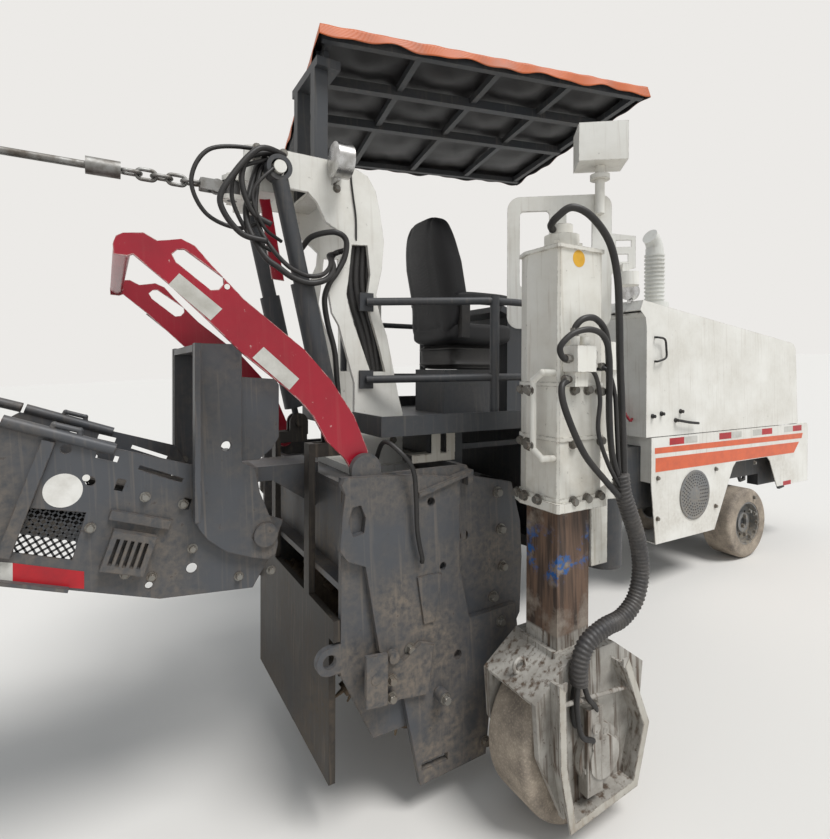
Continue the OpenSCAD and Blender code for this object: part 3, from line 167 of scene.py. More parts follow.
# %% [markdown]
# Most of the machine is painted steel that works outdoors. What tells it from new paint is layered: a
# slightly uneven coat, dust that settles low down and in broad clouds, thin dark runs down the sides, and
# chips on the edges that show primer or rust. The recipe below stacks those layers, each from a noise whose
# grain is worked out from a real size. The edge layer asks the Bevel node how far a rounded edge would turn
# the surface, which finds edges on any mesh.

# %% Worn paint


def worn_paint(name, paint, shade, dust, bare, dustiness, chips, runs, rough, dust_top, metal):
    """Paint under dust, runs and chips; the grain of each layer is 1 / its size in metres."""
    m = blank(name)
    spot = add(m, "TexCoord", out="Object")
    height = add(m, "SeparateXYZ", spot, out=2)
    # clouds about 300 mm across, and spots about 25 mm across
    cloud = add(m, "TexNoise", spot, Scale=3.2, Detail=6.0, Roughness=0.6)
    fleck = add(m, "TexNoise", spot, Scale=38.0, Detail=5.0, Roughness=0.62)
    # runs are noise drawn out along the height, 15 mm wide and 400 mm long
    drawn = add(m, "Mapping", spot, Scale=(60.0, 60.0, 2.4))
    run = add(m, "TexNoise", drawn, Scale=1.0, Detail=3.0, Roughness=0.5)
    uneven = add(m, "MapRange", cloud, 0.35, 0.7)
    coat = add(m, "Mix", uneven, i6=linear(paint), i7=linear(shade), **COLOURS)
    run_share = add(m, "Math", add(m, "MapRange", run, 0.56, 0.74), runs, **TIMES)
    coat = add(m, "Mix", run_share, i6=coat, i7=linear(dust), **COLOURS)
    # dust is thickest near the ground and thins out up to dust_top
    low = add(m, "MapRange", height, dust_top, 0.1, 0.25, 1.0)
    settled = add(m, "Math", add(m, "MapRange", cloud, 0.38, 0.66), low, **TIMES)
    speckled = add(m, "Math", settled, add(m, "MapRange", fleck, 0.3, 0.62), **TIMES)
    dust_share = add(m, "Math", speckled, dustiness * 2.0, **TIMES, use_clamp=True)
    coat = add(m, "Mix", dust_share, i6=coat, i7=linear(dust), **COLOURS)
    # an edge is where a 5 mm bevel would turn the surface
    plain = add(m, "NewGeometry", out="Normal")
    turn = add(m, "VectorMath", add(m, "Bevel", 0.005, samples=4), plain, operation="DOT_PRODUCT",
               out="Value")
    edge = add(m, "Math", add(m, "MapRange", turn, 0.985, 0.9), add(m, "MapRange", fleck, 0.42, 0.56),
               **TIMES)
    spots = add(m, "MapRange", fleck, 0.70 - chips * 0.06, 0.72 - chips * 0.06)
    worn = add(m, "Math", edge, add(m, "Math", spots, cloud, **TIMES), operation="MAXIMUM")
    chip = add(m, "Math", worn, min(1.0, chips * 2.5), **TIMES)
    colour = add(m, "Mix", chip, i6=coat, i7=linear(bare), **COLOURS)
    roughness = add(m, "MapRange", dust_share, 0.0, 1.0, rough, 0.92)
    relief = add(m, "Math", fleck, chip, operation="SUBTRACT", use_clamp=True)
    bump = add(m, "Bump", Strength=0.25, Distance=0.0012, Height=relief)
    return finished(m, add(m, "BsdfPrincipled", Base_Color=colour, Roughness=roughness, Metallic=metal,
                           Normal=bump))


print("grain of clouds 300 mm across:", round(1 / 0.3, 1))

# %% [markdown]
# The machine carries about a dozen coats, from fresh looking white enamel to milled steel. Each could be a
# material built by hand; since they differ only in colour and wear, one table of shares feeds the recipe.

# %% The paints
# paint, shade, dust, bare metal, the shares of dust, chips and runs, roughness, top of the dust, metal
PAINTS = {
    "white_enamel_on_steel": ("#e6e4dd", "#d8d5cc", "#9a8b78", "#4a3b31", 0.22, 0.22, 0.25, 0.38, 1.1, 0.0),
    "white_enamel_on_columns": ("#e4e2da", "#d2cec3", "#a79a86", "#4a3b31", 0.3, 0.3, 0.4, 0.42, 1.6, 0.0),
    "slate_grey_paint": ("#4a4c50", "#3a3c3f", "#85796b", "#3a2e26", 0.55, 0.45, 0.3, 0.45, 1.7, 0.0),
    "dark_grey_paint": ("#35383c", "#2b2d31", "#6d665d", "#26211e", 0.4, 0.25, 0.3, 0.5, 1.6, 0.0),
    "mid_grey_paint": ("#77797a", "#66686a", "#a29684", "#42372f", 0.5, 0.4, 0.4, 0.55, 1.2, 0.0),
    "red_gloss_paint": ("#a01028", "#880e22", "#9c5550", "#d8d2c8", 0.12, 0.3, 0.15, 0.3, 1.4, 0.0),
    "pale_worn_paint": ("#b9b5ab", "#a39d92", "#8a7a67", "#4b3c30", 0.4, 0.5, 0.5, 0.5, 1.2, 0.0),
    "greasy_steel": ("#33302d", "#282523", "#6a5e50", "#221c18", 0.35, 0.5, 0.6, 0.5, 1.4, 0.3),
    "milled_steel": ("#6a5a4b", "#51453a", "#9c8a72", "#33281f", 0.6, 0.5, 0.3, 0.6, 1.4, 0.3),
    "polypropylene_duct": ("#dcdcd6", "#c8c7c0", "#9a8b78", "#4a3b31", 0.15, 0.0, 0.2, 0.5, 1.1, 0.0),
    "zinc_plated_bolt": ("#8b8a85", "#6f6c66", "#9a8b78", "#4d3c30", 0.3, 0.4, 0.2, 0.4, 1.1, 0.6),
}
FINISHES = {name: worn_paint(name, *recipe) for name, recipe in PAINTS.items()}
print("paints:", ", ".join(FINISHES))

# %% [markdown]
# The sliding legs are bare steel above the fork, brown with rust and blue with grease, and worn paint
# below. Two materials would need a cut in the mesh; one material that changes at a height needs none, so
# the two looks are mixed by the height of the point, within a centimetre.

# %% Steel and paint of the legs


def greased_leg(name):
    """Rusty, greased steel above the fork, worn pale paint below, and blue grease in clouds of 170 mm."""
    m = blank(name)
    spot = add(m, "TexCoord", out="Object")
    height = add(m, "SeparateXYZ", spot, out=2)
    cloud = add(m, "TexNoise", spot, Scale=6.0, Detail=7.0, Roughness=0.65)
    fleck = add(m, "TexNoise", spot, Scale=42.0, Detail=5.0, Roughness=0.65)
    drawn = add(m, "Mapping", spot, Scale=(48.0, 48.0, 3.0))
    run = add(m, "TexNoise", drawn, Scale=1.0, Detail=4.0, Roughness=0.55)
    # each layer: the noise that spreads it, between which values it sets in, and its colour
    steel = linear("#3b2f28")
    for noise, low, high, colour in ((run, 0.4, 0.62, "#6b5444"), (cloud, 0.52, 0.66, "#8d8276")):
        steel = add(m, "Mix", add(m, "MapRange", noise, low, high), i6=steel, i7=linear(colour), **COLOURS)
    smear = add(m, "Math", add(m, "MapRange", cloud, 0.49, 0.54), add(m, "MapRange", fleck, 0.47, 0.55),
                **TIMES)
    band = add(m, "Math", add(m, "MapRange", height, 0.90, 0.94), add(m, "MapRange", height, 1.12, 1.05),
               **TIMES)
    steel = add(m, "Mix", add(m, "Math", smear, band, **TIMES), i6=steel, i7=linear("#20548f"), **COLOURS)
    paint = linear("#aeaaa2")
    for noise, low, high, colour in ((cloud, 0.4, 0.62, "#8b867e"), (run, 0.5, 0.66, "#57493d"),
                                     (fleck, 0.62, 0.70, "#574a3f")):
        paint = add(m, "Mix", add(m, "MapRange", noise, low, high), i6=paint, i7=linear(colour), **COLOURS)
    # the fork's top edge stands 717 mm over the floor
    colour = add(m, "Mix", add(m, "MapRange", height, 0.712, 0.722), i6=paint, i7=steel, **COLOURS)
    bump = add(m, "Bump", Strength=0.4, Distance=0.002, Height=fleck)
    roughness = add(m, "MapRange", smear, 0.0, 1.0, 0.62, 0.3)
    return finished(m, add(m, "BsdfPrincipled", Base_Color=colour, Roughness=roughness, Normal=bump))


FINISHES["greased_leg_steel"] = greased_leg("greased_leg_steel")
print("finishes with the legs':", len(FINISHES))

# %% [markdown]
# Rubber, chrome and zinc. A solid tyre that rolls on milled road is grey brown rather than black, because
# stone dust is ground into its skin; hoses keep their black. The working lamps are a chromed bowl.

# %% Rubber and bare metal


def rubber(name, black, dust, dusty, rough):
    """Rubber with dust ground in: dust where a coarse and a fine noise are both high."""
    m = blank(name)
    spot = add(m, "TexCoord", out="Object")
    cloud = add(m, "TexNoise", spot, Scale=9.0, Detail=6.0, Roughness=0.65)
    grit = add(m, "TexNoise", spot, Scale=140.0, Detail=3.0, Roughness=0.6)
    broad = add(m, "Math", add(m, "MapRange", cloud, 0.3, 0.7), dusty, **TIMES)
    fine = add(m, "Math", add(m, "MapRange", grit, 0.5, 0.7), dusty * 0.5, **TIMES)
    share = add(m, "Math", broad, fine, operation="ADD")
    colour = add(m, "Mix", share, i6=linear(black), i7=linear(dust), **COLOURS)
    bump = add(m, "Bump", Strength=0.4, Distance=0.0015, Height=grit)
    return finished(m, add(m, "BsdfPrincipled", Base_Color=colour, Roughness=rough, Normal=bump))


def plain_metal(name, colour, shade, rough):
    """Bare or plated metal with faint stains about 60 mm across."""
    m = blank(name)
    stain = add(m, "TexNoise", add(m, "TexCoord", out="Object"), Scale=16.0, Detail=5.0, Roughness=0.6)
    tint = add(m, "Mix", add(m, "MapRange", stain, 0.4, 0.7), i6=linear(colour), i7=linear(shade), **COLOURS)
    roughness = add(m, "MapRange", stain, 0.3, 0.7, rough, rough + 0.2)
    return finished(m, add(m, "BsdfPrincipled", Base_Color=tint, Metallic=1.0, Roughness=roughness))


RUBBERS = {"solid_tyre_rubber": ("#6c635a", "#b8aa98", 0.8, 0.85),
           "hose_rubber": ("#141416", "#4a453f", 0.25, 0.5),
           "belt_rubber": ("#1d1d1e", "#6d645a", 0.5, 0.8),
           "sleeve_plastic": ("#26262a", "#6b655d", 0.45, 0.5)}
METALS = {"chromed_bowl": ("#c9c9c9", "#8f8c88", 0.18), "galvanised_steel": ("#8f8f8d", "#5c564f", 0.45)}
FINISHES |= {name: rubber(name, *recipe) for name, recipe in RUBBERS.items()}
FINISHES |= {name: plain_metal(name, *recipe) for name, recipe in METALS.items()}
print("finishes:", len(FINISHES))

# %% [markdown]
# Every piece of the model gets a finish. The table names the finish of each piece; a piece that has two
# finishes on the real machine is split by a small painted piece on it later.

# %% Which finish goes on which piece
FINISH_OF = {
    "white_enamel_on_steel": ["lower_body", "hood", "tower", "hoop"],
    "white_enamel_on_columns": ["column_right", "column_left"],
    "slate_grey_paint": ["drum_housing", "edge_plate_right", "edge_plate_left", "slew_frame",
                         "conveyor_frame"],
    "dark_grey_paint": ["main_frame", "swing_bracket", "engine", "canopy_frame", "platform", "handrails",
                        "console", "front_axle", "knuckle_right", "knuckle_left", "hoist_barrels",
                        "hoist_rods"],
    "mid_grey_paint": ["rim_front_right", "rim_front_left", "rim_rear_right", "rim_rear_left"],
    "red_gloss_paint": ["guard_bow"],
    "greased_leg_steel": ["leg_right", "leg_left"],
    "greasy_steel": ["scraper"],
    "milled_steel": ["milling_drum"],
    "solid_tyre_rubber": ["tyre_front_right", "tyre_front_left", "tyre_rear_right", "tyre_rear_left"],
    "hose_rubber": ["hose_bundle", "tower_hoses", "seat", "canopy_cover"],
    "belt_rubber": ["conveyor_belt"],
    "chromed_bowl": ["tower_lamp", "hood_lamp"],
    "galvanised_steel": ["stay_rod"],
    "polypropylene_duct": ["air_duct"],
}
for finish, nodes in FINISH_OF.items():
    for name in nodes:
        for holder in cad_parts[name].material_slots:
            holder.material = FINISHES[finish]
left_over = set(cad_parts) - {n for group in FINISH_OF.values() for n in group}
print("pieces without a finish:", left_over or "none")

# %% [markdown]
# Small things sit on the machine's skin. To seat them we need the way back from the floor to the chassis,
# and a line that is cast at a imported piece: where it first meets the piece is the seat. That way a bolt is
# never sunk or loose, whatever the plate's thickness is.

# %% Seats on the skin
SEARCH = 400.0
skins = {}


def from_floor(points):
    """Floor metres to chassis millimetres: the turn of to_floor, undone."""
    return (np.asarray(points, dtype=float) - REAR_AXLE) @ TURN * 1000 + [0, 0, 300]


def seated(node, places, toward):
    """Where a line along toward, begun 400 mm back, first meets the piece; a miss keeps its place."""
    if node not in skins:
        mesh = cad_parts[node].data
        skins[node] = BVHTree.FromPolygons([v.co for v in mesh.vertices], [p.vertices for p in mesh.polygons])
    way = np.asarray(toward, dtype=float)
    starts = to_floor(np.asarray(places, dtype=float) - way * SEARCH)
    ahead = Vector((TURN @ way).tolist())
    hits = [skins[node].ray_cast(Vector(start), ahead, 2 * SEARCH / 1000)[0] for start in starts.tolist()]
    found = [place if hit is None else from_floor(hit) for place, hit in zip(places, hits)]
    return np.array(found)


print("column's right face at y", seated("column_right", [[0, -1000, 1500]], [0, 1, 0]).round(1))

# %% [markdown]
# Every added piece begins as points in rows and columns. One helper joins them to quads, one welds a mesh
# and turns its faces outwards, and one makes the object and sets it on its body, so that it moves with the
# machine's joints.

# %% Grids and pieces


def quads(rows, cols, round_rows=False, round_cols=False):
    """Faces of rows x cols points numbered row by row; a round direction joins its last line to its first."""
    r = np.arange(rows if round_rows else rows - 1)[:, None]
    c = np.arange(cols if round_cols else cols - 1)[None, :]
    corners = [r * cols + c, r * cols + (c + 1) % cols, (r + 1) % rows * cols + (c + 1) % cols,
               (r + 1) % rows * cols + c]
    return np.stack(corners, axis=-1).reshape(-1, 4)


def weld(mesh, distance=0.0, outwards=True):
    """Merge points closer than a distance in metres, then turn the faces outwards."""
    shell = bmesh.new()
    shell.from_mesh(mesh)
    if distance:
        bmesh.ops.remove_doubles(shell, verts=shell.verts, dist=distance)
    if outwards:
        bmesh.ops.recalc_face_normals(shell, faces=shell.faces)
    shell.to_mesh(mesh)
    shell.free()


def piece(name, points, faces, finish, body=None, smooth=True):
    """A closed mesh from chassis millimetres, with its faces outwards; it rides on its body if it has one."""
    mesh = bpy.data.meshes.new(name)
    mesh.from_pydata(to_floor(points).tolist(), [], [[int(i) for i in face] for face in faces])
    weld(mesh)
    mesh.polygons.foreach_set("use_smooth", np.full(len(mesh.polygons), smooth))
    mesh.materials.append(FINISHES[finish])
    made = bpy.data.objects.new(name, mesh)
    bpy.context.scene.collection.objects.link(made)
    if body:
        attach(made, body)
    return made


print("faces of a 4 x 3 grid:", len(quads(4, 3)))

# %% [markdown]
# Stripes, reflectors and brackets are flat: an outline with a thickness. A picture on the steel would be
# lighter, but it has no edge that catches the light, so each is raised from its outline as a thin plate.

# %% Plates and outlines


def raised(outline, normal_axis, base, top):
    """One plate: the outline at base and again at top along an axis, with the walls between."""
    flat = np.asarray(outline, dtype=float)
    n = len(flat)
    ends = [np.insert(flat, normal_axis, level, axis=1) for level in (base, top)]
    walls = [[i, (i + 1) % n, n + (i + 1) % n, n + i] for i in range(n)]
    return np.vstack(ends), [list(range(n))] + [list(range(n, 2 * n))] + walls


def joined(parts):
    """Several (points, faces) as one."""
    points, faces, start = [], [], 0
    for p, f in parts:
        points.append(np.asarray(p, dtype=float))
        faces += [[int(i) + start for i in face] for face in f]
        start += len(p)
    return np.vstack(points), faces


def plates(name, outlines, axis, base, top, finish, body):
    """Flat plates of one thickness, all in one piece."""
    points, faces = joined([raised(o, axis, base, top) for o in outlines])
    return piece(name, points, faces, finish, body, smooth=False)


def rectangle(x, z):
    """Outline of an upright rectangle from two spans."""
    return [(x[0], z[0]), (x[1], z[0]), (x[1], z[1]), (x[0], z[1])]


def circle(centre, r, n=32):
    """Outline of a circle: centre + r (cos a, sin a)."""
    a = np.linspace(0, 2 * np.pi, n, endpoint=False)
    return np.stack([centre[0] + r * np.cos(a), centre[1] + r * np.sin(a)], axis=1)


print("faces of one plate:", len(raised(rectangle((0, 40), (0, 20)), 1, 0, 5)[1]))

# %% [markdown]
# Hoses, handles and rails are a circle carried along a path. The path is a smooth curve through a few
# given places, and each ring is turned from the one before by the least turn that keeps it square
# to the path, so that the tube never twists. A ribbed sleeve is the same tube with its radius going up and
# down.

# %% Tubes along a path


def smooth_path(points, steps=8):
    """Catmull-Rom curve: on each stretch, the cubic that the four nearest places give."""
    p = np.asarray(points, dtype=float)
    p = np.vstack([2 * p[0] - p[1], p, 2 * p[-1] - p[-2]])
    t = np.linspace(0, 1, steps, endpoint=False)[None, :, None]
    a, b, c, d = (p[i:len(p) - 3 + i, None, :] for i in range(4))
    run = 0.5 * (2 * b + (c - a) * t + (2 * a - 5 * b + 4 * c - d) * t ** 2
                 + (3 * b - a - 3 * c + d) * t ** 3)
    return np.vstack([run.reshape(-1, 3), p[-2]])


def tube(path, radius, sides=12):
    """Rings of points round a path, capped at both ends; radius is one number, or one for each ring."""
    way = np.gradient(path, axis=0)
    way = way / np.linalg.norm(way, axis=1, keepdims=True)
    side = np.cross(way[0], [0.31, 0.17, 0.93])
    turned = [side / np.linalg.norm(side)]
    for ahead in way[1:]:
        side = turned[-1] - ahead * (turned[-1] @ ahead)
        turned.append(side / np.linalg.norm(side))
    u = np.array(turned)[:, None]
    v = np.cross(way, np.array(turned))[:, None]
    angle = np.linspace(0, 2 * np.pi, sides, endpoint=False)[None, :, None]
    r = np.broadcast_to(radius, len(path))[:, None, None]
    points = (path[:, None] + r * (u * np.cos(angle) + v * np.sin(angle))).reshape(-1, 3)
    last = (len(path) - 1) * sides
    caps = [list(range(sides))[::-1], list(range(last, last + sides))]
    return points, quads(len(path), sides, round_cols=True).tolist() + caps


def rods(name, paths, d, finish, body, sides=12, steps=6):
    """Round bars through lists of places, all in one piece."""
    points, faces = joined([tube(smooth_path(p, steps), d / 2, sides) for p in paths])
    return piece(name, points, faces, finish, body)


def hoses(name, runs, plane, sides, body):
    """Hoses as (diameter, places), whose y is counted from an upright plane, all in one piece."""
    parts = [tube(smooth_path(np.array(places) + [0, plane, 0], 10), d / 2, sides) for d, places in runs]
    return piece(name, *joined(parts), "hose_rubber", body)


print("points of a short tube:", len(tube(smooth_path([[0, 0, 0], [0, 0, 50], [30, 0, 90]]), 6)[0]))

# %% [markdown]
# Bolts, caps and cover plates are turned: a profile carried round an axis. A Screw modifier could do it,
# but many heads are wanted in one mesh, each at its own place, so the rings are computed. A bolt's head is
# the same shape with six sides, and its washer is part of the profile.

# %% Turned shapes, bolts and discs


def turned_shape(centre, direction, profile, sides=24, six_sided=()):
    """A profile of (radius, height) turned about a direction; rows in six_sided get a hexagon's radius."""
    w = np.asarray(direction, dtype=float) / np.linalg.norm(direction)
    u = np.cross(w, [0.31, 0.17, 0.93])
    u = u / np.linalg.norm(u)
    v = np.cross(w, u)
    angle = np.linspace(0, 2 * np.pi, sides, endpoint=False)
    hexagon = math.cos(math.pi / 6) / np.cos((angle + math.pi / 6) % (math.pi / 3) - math.pi / 6)
    rows = []
    for i, (r, h) in enumerate(profile):
        reach = r * (hexagon if i in six_sided else np.ones(sides))
        rows.append(np.asarray(centre) + w * h + reach[:, None] * (
            u * np.cos(angle)[:, None] + v * np.sin(angle)[:, None]))
    last = (len(profile) - 1) * sides
    caps = [list(range(sides)), list(range(last, last + sides))]
    return np.vstack(rows), quads(len(profile), sides, round_cols=True).tolist() + caps


def bolts(name, node, places, toward, across, body, finish="zinc_plated_bolt"):
    """Hexagon heads on washers, seated on a piece; toward is the way in, across the width over flats."""
    out = -np.asarray(toward, dtype=float)
    a = across
    profile = [(0.8 * a, -0.5), (0.8 * a, 0.14 * a), (0.577 * a, 0.14 * a), (0.577 * a, 0.7 * a),
               (0.5 * a, 0.78 * a)]
    heads = [turned_shape(p, out, profile, 12, (2, 3)) for p in seated(node, places, toward)]
    points, faces = joined(heads)
    return piece(name, points, faces, finish, body, smooth=False)


def discs(name, node, places, toward, profile, finish, body, sides=32):
    """Turned shapes seated on a piece, such as caps, lenses and cover plates."""
    out = -np.asarray(toward, dtype=float)
    points, faces = joined([turned_shape(p, out, profile, sides) for p in seated(node, places, toward)])
    return piece(name, points, faces, finish, body, smooth=False)


print("points of a washer:", len(turned_shape([0, 0, 0], [0, 0, 1], [(12, 0), (12, 3)])[0]))

# %% [markdown]
# Reflective film is a fine grid of cells that sends light back. It could glow by itself, but in daylight it
# looks like a flat, even colour, brighter than paint, so a light colour and a relief of cells are enough.

# %% Films and plastics


def flat_film(name, colour, shade, cell=0.004, rough=0.35):
    """Film of small cells, cell metres across, a little dirty in clouds of 100 mm."""
    m = blank(name)
    spot = add(m, "TexCoord", out="Object")
    cells = add(m, "TexVoronoi", spot, Scale=1 / cell, out="Distance")
    dirt = add(m, "TexNoise", spot, Scale=10.0, Detail=6.0, Roughness=0.65)
    tint = add(m, "Mix", add(m, "MapRange", dirt, 0.42, 0.75), i6=linear(colour), i7=linear(shade), **COLOURS)
    bump = add(m, "Bump", Strength=0.15, Distance=0.0003, Height=cells)
    return finished(m, add(m, "BsdfPrincipled", Base_Color=tint, Roughness=rough, Normal=bump))


FILMS = {"orange_vinyl_film": dict(colour="#d9653c", shade="#c2583a", rough=0.4),
         "silver_reflective_film": dict(colour="#c6c4bd", shade="#a3a096"),
         "red_reflective_film": dict(colour="#b3121f", shade="#8f1420"),
         "white_vinyl_film": dict(colour="#e4e2dc", shade="#c3bfb6", rough=0.4),
         "yellow_vinyl_film": dict(colour="#d9a52a", shade="#b98a2c", rough=0.45),
         "black_nylon": dict(colour="#1b1b1c", shade="#35312d", cell=0.01, rough=0.55)}
FINISHES |= {name: flat_film(name, **recipe) for name, recipe in FILMS.items()}
print("films:", ", ".join(FILMS))

# %% [markdown]
# The tarpaulin is PVC on a woven cloth: orange and sun-bleached outside, black inside, creased where it was
# folded. Creases this fine would need a very dense mesh; a bump of ridged noise draws them as well.

# %% Tarpaulin and vinyl


def creased_sheet(name, colour, shade, dust, dusty, rough=0.5, crease=0.25):
    """Coated cloth: a weave 3 mm wide, three times the real one so that it shows, creased every 200 mm."""
    m = blank(name)
    spot = add(m, "TexCoord", out="Object")
    threads = [add(m, "TexWave", spot, bands_direction=way, Scale=105.0, Distortion=0.3, out=1)
               for way in "XY"]
    weave = add(m, "Math", *threads, **TIMES)
    fold = add(m, "TexNoise", spot, noise_type="RIDGED_MULTIFRACTAL", Scale=5.0, Detail=4.0)
    cloud = add(m, "TexNoise", spot, Scale=4.0, Detail=7.0, Roughness=0.65)
    tint = add(m, "Mix", add(m, "MapRange", cloud, 0.35, 0.68), i6=linear(colour), i7=linear(shade),
               **COLOURS)
    dust_share = add(m, "Math", add(m, "MapRange", cloud, 0.5, 0.8), dusty, **TIMES)
    tint = add(m, "Mix", dust_share, i6=tint, i7=linear(dust), **COLOURS)
    folds = add(m, "Math", add(m, "MapRange", fold, 0.2, 1.1), crease, **TIMES)
    height = add(m, "Math", add(m, "Math", weave, 0.12, **TIMES), folds, operation="ADD")
    bump = add(m, "Bump", Strength=0.5, Distance=0.006, Height=height)
    return finished(m, add(m, "BsdfPrincipled", Base_Color=tint, Roughness=rough, Normal=bump))


CLOTHS = {"orange_tarpaulin": ("#c9672f", "#b3542a", "#8f7d69", 0.5),
          "black_tarpaulin_lining": ("#151415", "#1e1c1d", "#423c36", 0.3, 0.42, 0.5),
          "black_seat_vinyl": ("#111114", "#18181b", "#3a3631", 0.2, 0.6, 0.3)}
FINISHES |= {name: creased_sheet(name, *recipe) for name, recipe in CLOTHS.items()}
print("finishes now:", len(FINISHES))

# %% [markdown]
# The canopy is a tarpaulin laced over a frame of ribs. It is one sheet: a grid whose middle lies on the
# ribs and whose four borders fold down over the edge of the frame. Between the ribs it sags by the product
# of two squared sines, and the borders flare and ripple a little. A cloth simulation could find this form
# too, but the ribs are evenly spaced, so a formula gives it at once. A Solidify modifier gives the sheet
# its wall, with the lining as a second material on the inside.

# %% Form of the canopy
CANOPY_CORNER = np.array([-800.0, -350.0, 3110.0])
CANOPY_LEN = 1710.0
CANOPY_W = 1300.0
CANOPY_SKIRT = 46.0
CANOPY_FIRST_RIB = 45.0
CANOPY_RIB_PITCH = (CANOPY_LEN - 2 * CANOPY_FIRST_RIB) / 4
CANOPY_SAG = 30.0
CANOPY_FLARE = 7.0
CANOPY_WAVE = 4.0
CANOPY_MEMBERS = (35.0, 350.0, 720.0, CANOPY_W - 35)


def axis_turn(axis, degrees):
    """Turn about one axis, as a matrix."""
    return np.array(Matrix.Rotation(math.radians(degrees), 3, axis))


CANOPY_TURN = axis_turn("Z", -10) @ axis_turn("Y", -2) @ axis_turn("X", -1.5)


def on_canopy(points):
    """Places on the canopy's own plane (along, across, up) to the chassis."""
    return np.asarray(points) @ CANOPY_TURN.T + CANOPY_CORNER


def sag_across(y):
    """Squared sine between each two long members, zero on them and outside."""
    share = np.zeros_like(y)
    for a, b in zip(CANOPY_MEMBERS, CANOPY_MEMBERS[1:]):
        inside = (y > a) & (y < b)
        share = np.where(inside, np.sin(np.pi * (y - a) / (b - a)) ** 2, share)
    return share


def canopy_sheet():
    """Sheet of s by t: on the ribs inside the frame, and past an edge turned down by the rest of s or t."""
    lines = [np.concatenate([np.linspace(-CANOPY_SKIRT, 0, 8), np.linspace(0, reach, count)[1:],
                             np.linspace(reach, reach + CANOPY_SKIRT, 8)[1:]])
             for reach, count in ((CANOPY_LEN, 121), (CANOPY_W, 93))]
    s, t = np.meshgrid(*lines, indexing="ij")
    x = np.clip(s, 0, CANOPY_LEN)
    y = np.clip(t, 0, CANOPY_W)
    past_x = s - x
    past_y = t - y
    drop = np.maximum(np.abs(past_x), np.abs(past_y))
    sag = CANOPY_SAG * np.sin(np.pi * (x - CANOPY_FIRST_RIB) / CANOPY_RIB_PITCH) ** 2 * sag_across(y)
    crease = 1.6 * np.sin(x / 37 + y / 51) * np.sin(y / 43 - x / 97) + 1.1 * np.sin(x / 19 - y / 31)
    ripple = 1 + 0.16 * np.sin(x / 62) * np.cos(y / 71) + 0.10 * np.sin((x + y) / 29)
    flare = (CANOPY_FLARE + CANOPY_WAVE * np.sin((x * 1.3 + y) / 55)) * drop / CANOPY_SKIRT
    up = 3 - sag + crease * (drop == 0) - drop * ripple
    flat = np.stack([x + np.sign(past_x) * flare, y + np.sign(past_y) * flare, up], axis=-1)
    made = piece("canopy_tarpaulin", on_canopy(flat.reshape(-1, 3)), quads(*s.shape), "orange_tarpaulin",
                 "machine")
    return made, s.shape


print("pitch of the ribs:", CANOPY_RIB_PITCH)

# %% [markdown]
# The sheet is made, its doubled places are welded, and its faces are turned up. It stands in for the plain
# cover of the model, which is hidden.

# %% The canopy's cloth
tarpaulin, canopy_grid = canopy_sheet()
weld(tarpaulin.data, 0.0002, outwards=False)
if sum(p.normal.z for p in tarpaulin.data.polygons) < 0:
    tarpaulin.data.flip_normals()
tarpaulin.data.materials.append(FINISHES["black_tarpaulin_lining"])
wall = tarpaulin.modifiers.new("wall", "SOLIDIFY")
wall.thickness = 0.0016
wall.offset = -1.0
wall.material_offset = 1
wall.material_offset_rim = 0
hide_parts("canopy_cover")
print("canopy grid", canopy_grid)

# %% [markdown]
# The driver's seat is sprung, with thick vinyl pads. A pad is a rounded box: a superellipsoid, whose sines
# and cosines are raised to a power below one, so that its sides are full and its corners round. The back is
# then bent: leaned, hollowed by its side bolsters, narrowed at the head, and grooved along its two sewn
# seams.

# %% Pads of the seat


def pad(size, power=0.45, rows=40, cols=56):
    """Superellipsoid: x, y and z are products of signed powers of sines and cosines, times half the size."""
    lift = np.linspace(-np.pi / 2, np.pi / 2, rows)[:, None]
    turn = np.linspace(-np.pi, np.pi, cols, endpoint=False)[None, :]

    def full(v):
        return np.sign(v) * np.abs(v) ** power

    x = full(np.cos(lift)) * full(np.cos(turn)) * size[0] / 2
    y = full(np.cos(lift)) * full(np.sin(turn)) * size[1] / 2
    z = full(np.sin(lift)) * np.ones_like(turn) * size[2] / 2
    return np.stack([x, y, z], axis=-1).reshape(-1, 3), quads(rows, cols, round_cols=True)


def groove(v, place, width, depth):
    """A sewn channel: depth times a bell curve round its place."""
    return depth * np.exp(-((v - place) / width) ** 2)


def seat_piece(name, points, faces, fill=0.7):
    """One vinyl pad of the seat, with its poles closed; fill is not used."""
    made = piece(name, points, faces, "black_seat_vinyl", "machine")
    weld(made.data, 0.0003)
    return made


print("points of one pad:", len(pad([1, 1, 1])[0]))

# %% [markdown]
# The back stands over the base on two stalks, with an arm pad on each side and a rubber bellows below. Each
# pad starts as the same rounded box; the numbers below bend, hollow and groove it, in millimetres.

# %% The seat's parts
back, back_faces = pad([124, 480, 700])
side_share = np.abs(back[:, 1]) / 240
height_share = (back[:, 2] + 350) / 700
bolster = 52 * side_share ** 3 * np.sin(np.pi * np.clip(height_share, 0.05, 0.9))
back[:, 0] += bolster + 14 * np.sin(height_share * 7)
back[:, 0] -= groove(np.abs(back[:, 1]), 128, 9, 9) * np.sign(back[:, 0])
back[:, 0] -= groove(back[:, 2], 120, 10, 7) * np.sign(back[:, 0])
back[:, 1] *= 1 - 0.2 * np.clip(height_share - 0.62, 0, 1) / 0.38
back[:, 0] -= 0.085 * back[:, 2]
seat_back = seat_piece("seat_back", back + [102, 240, 2225], back_faces)

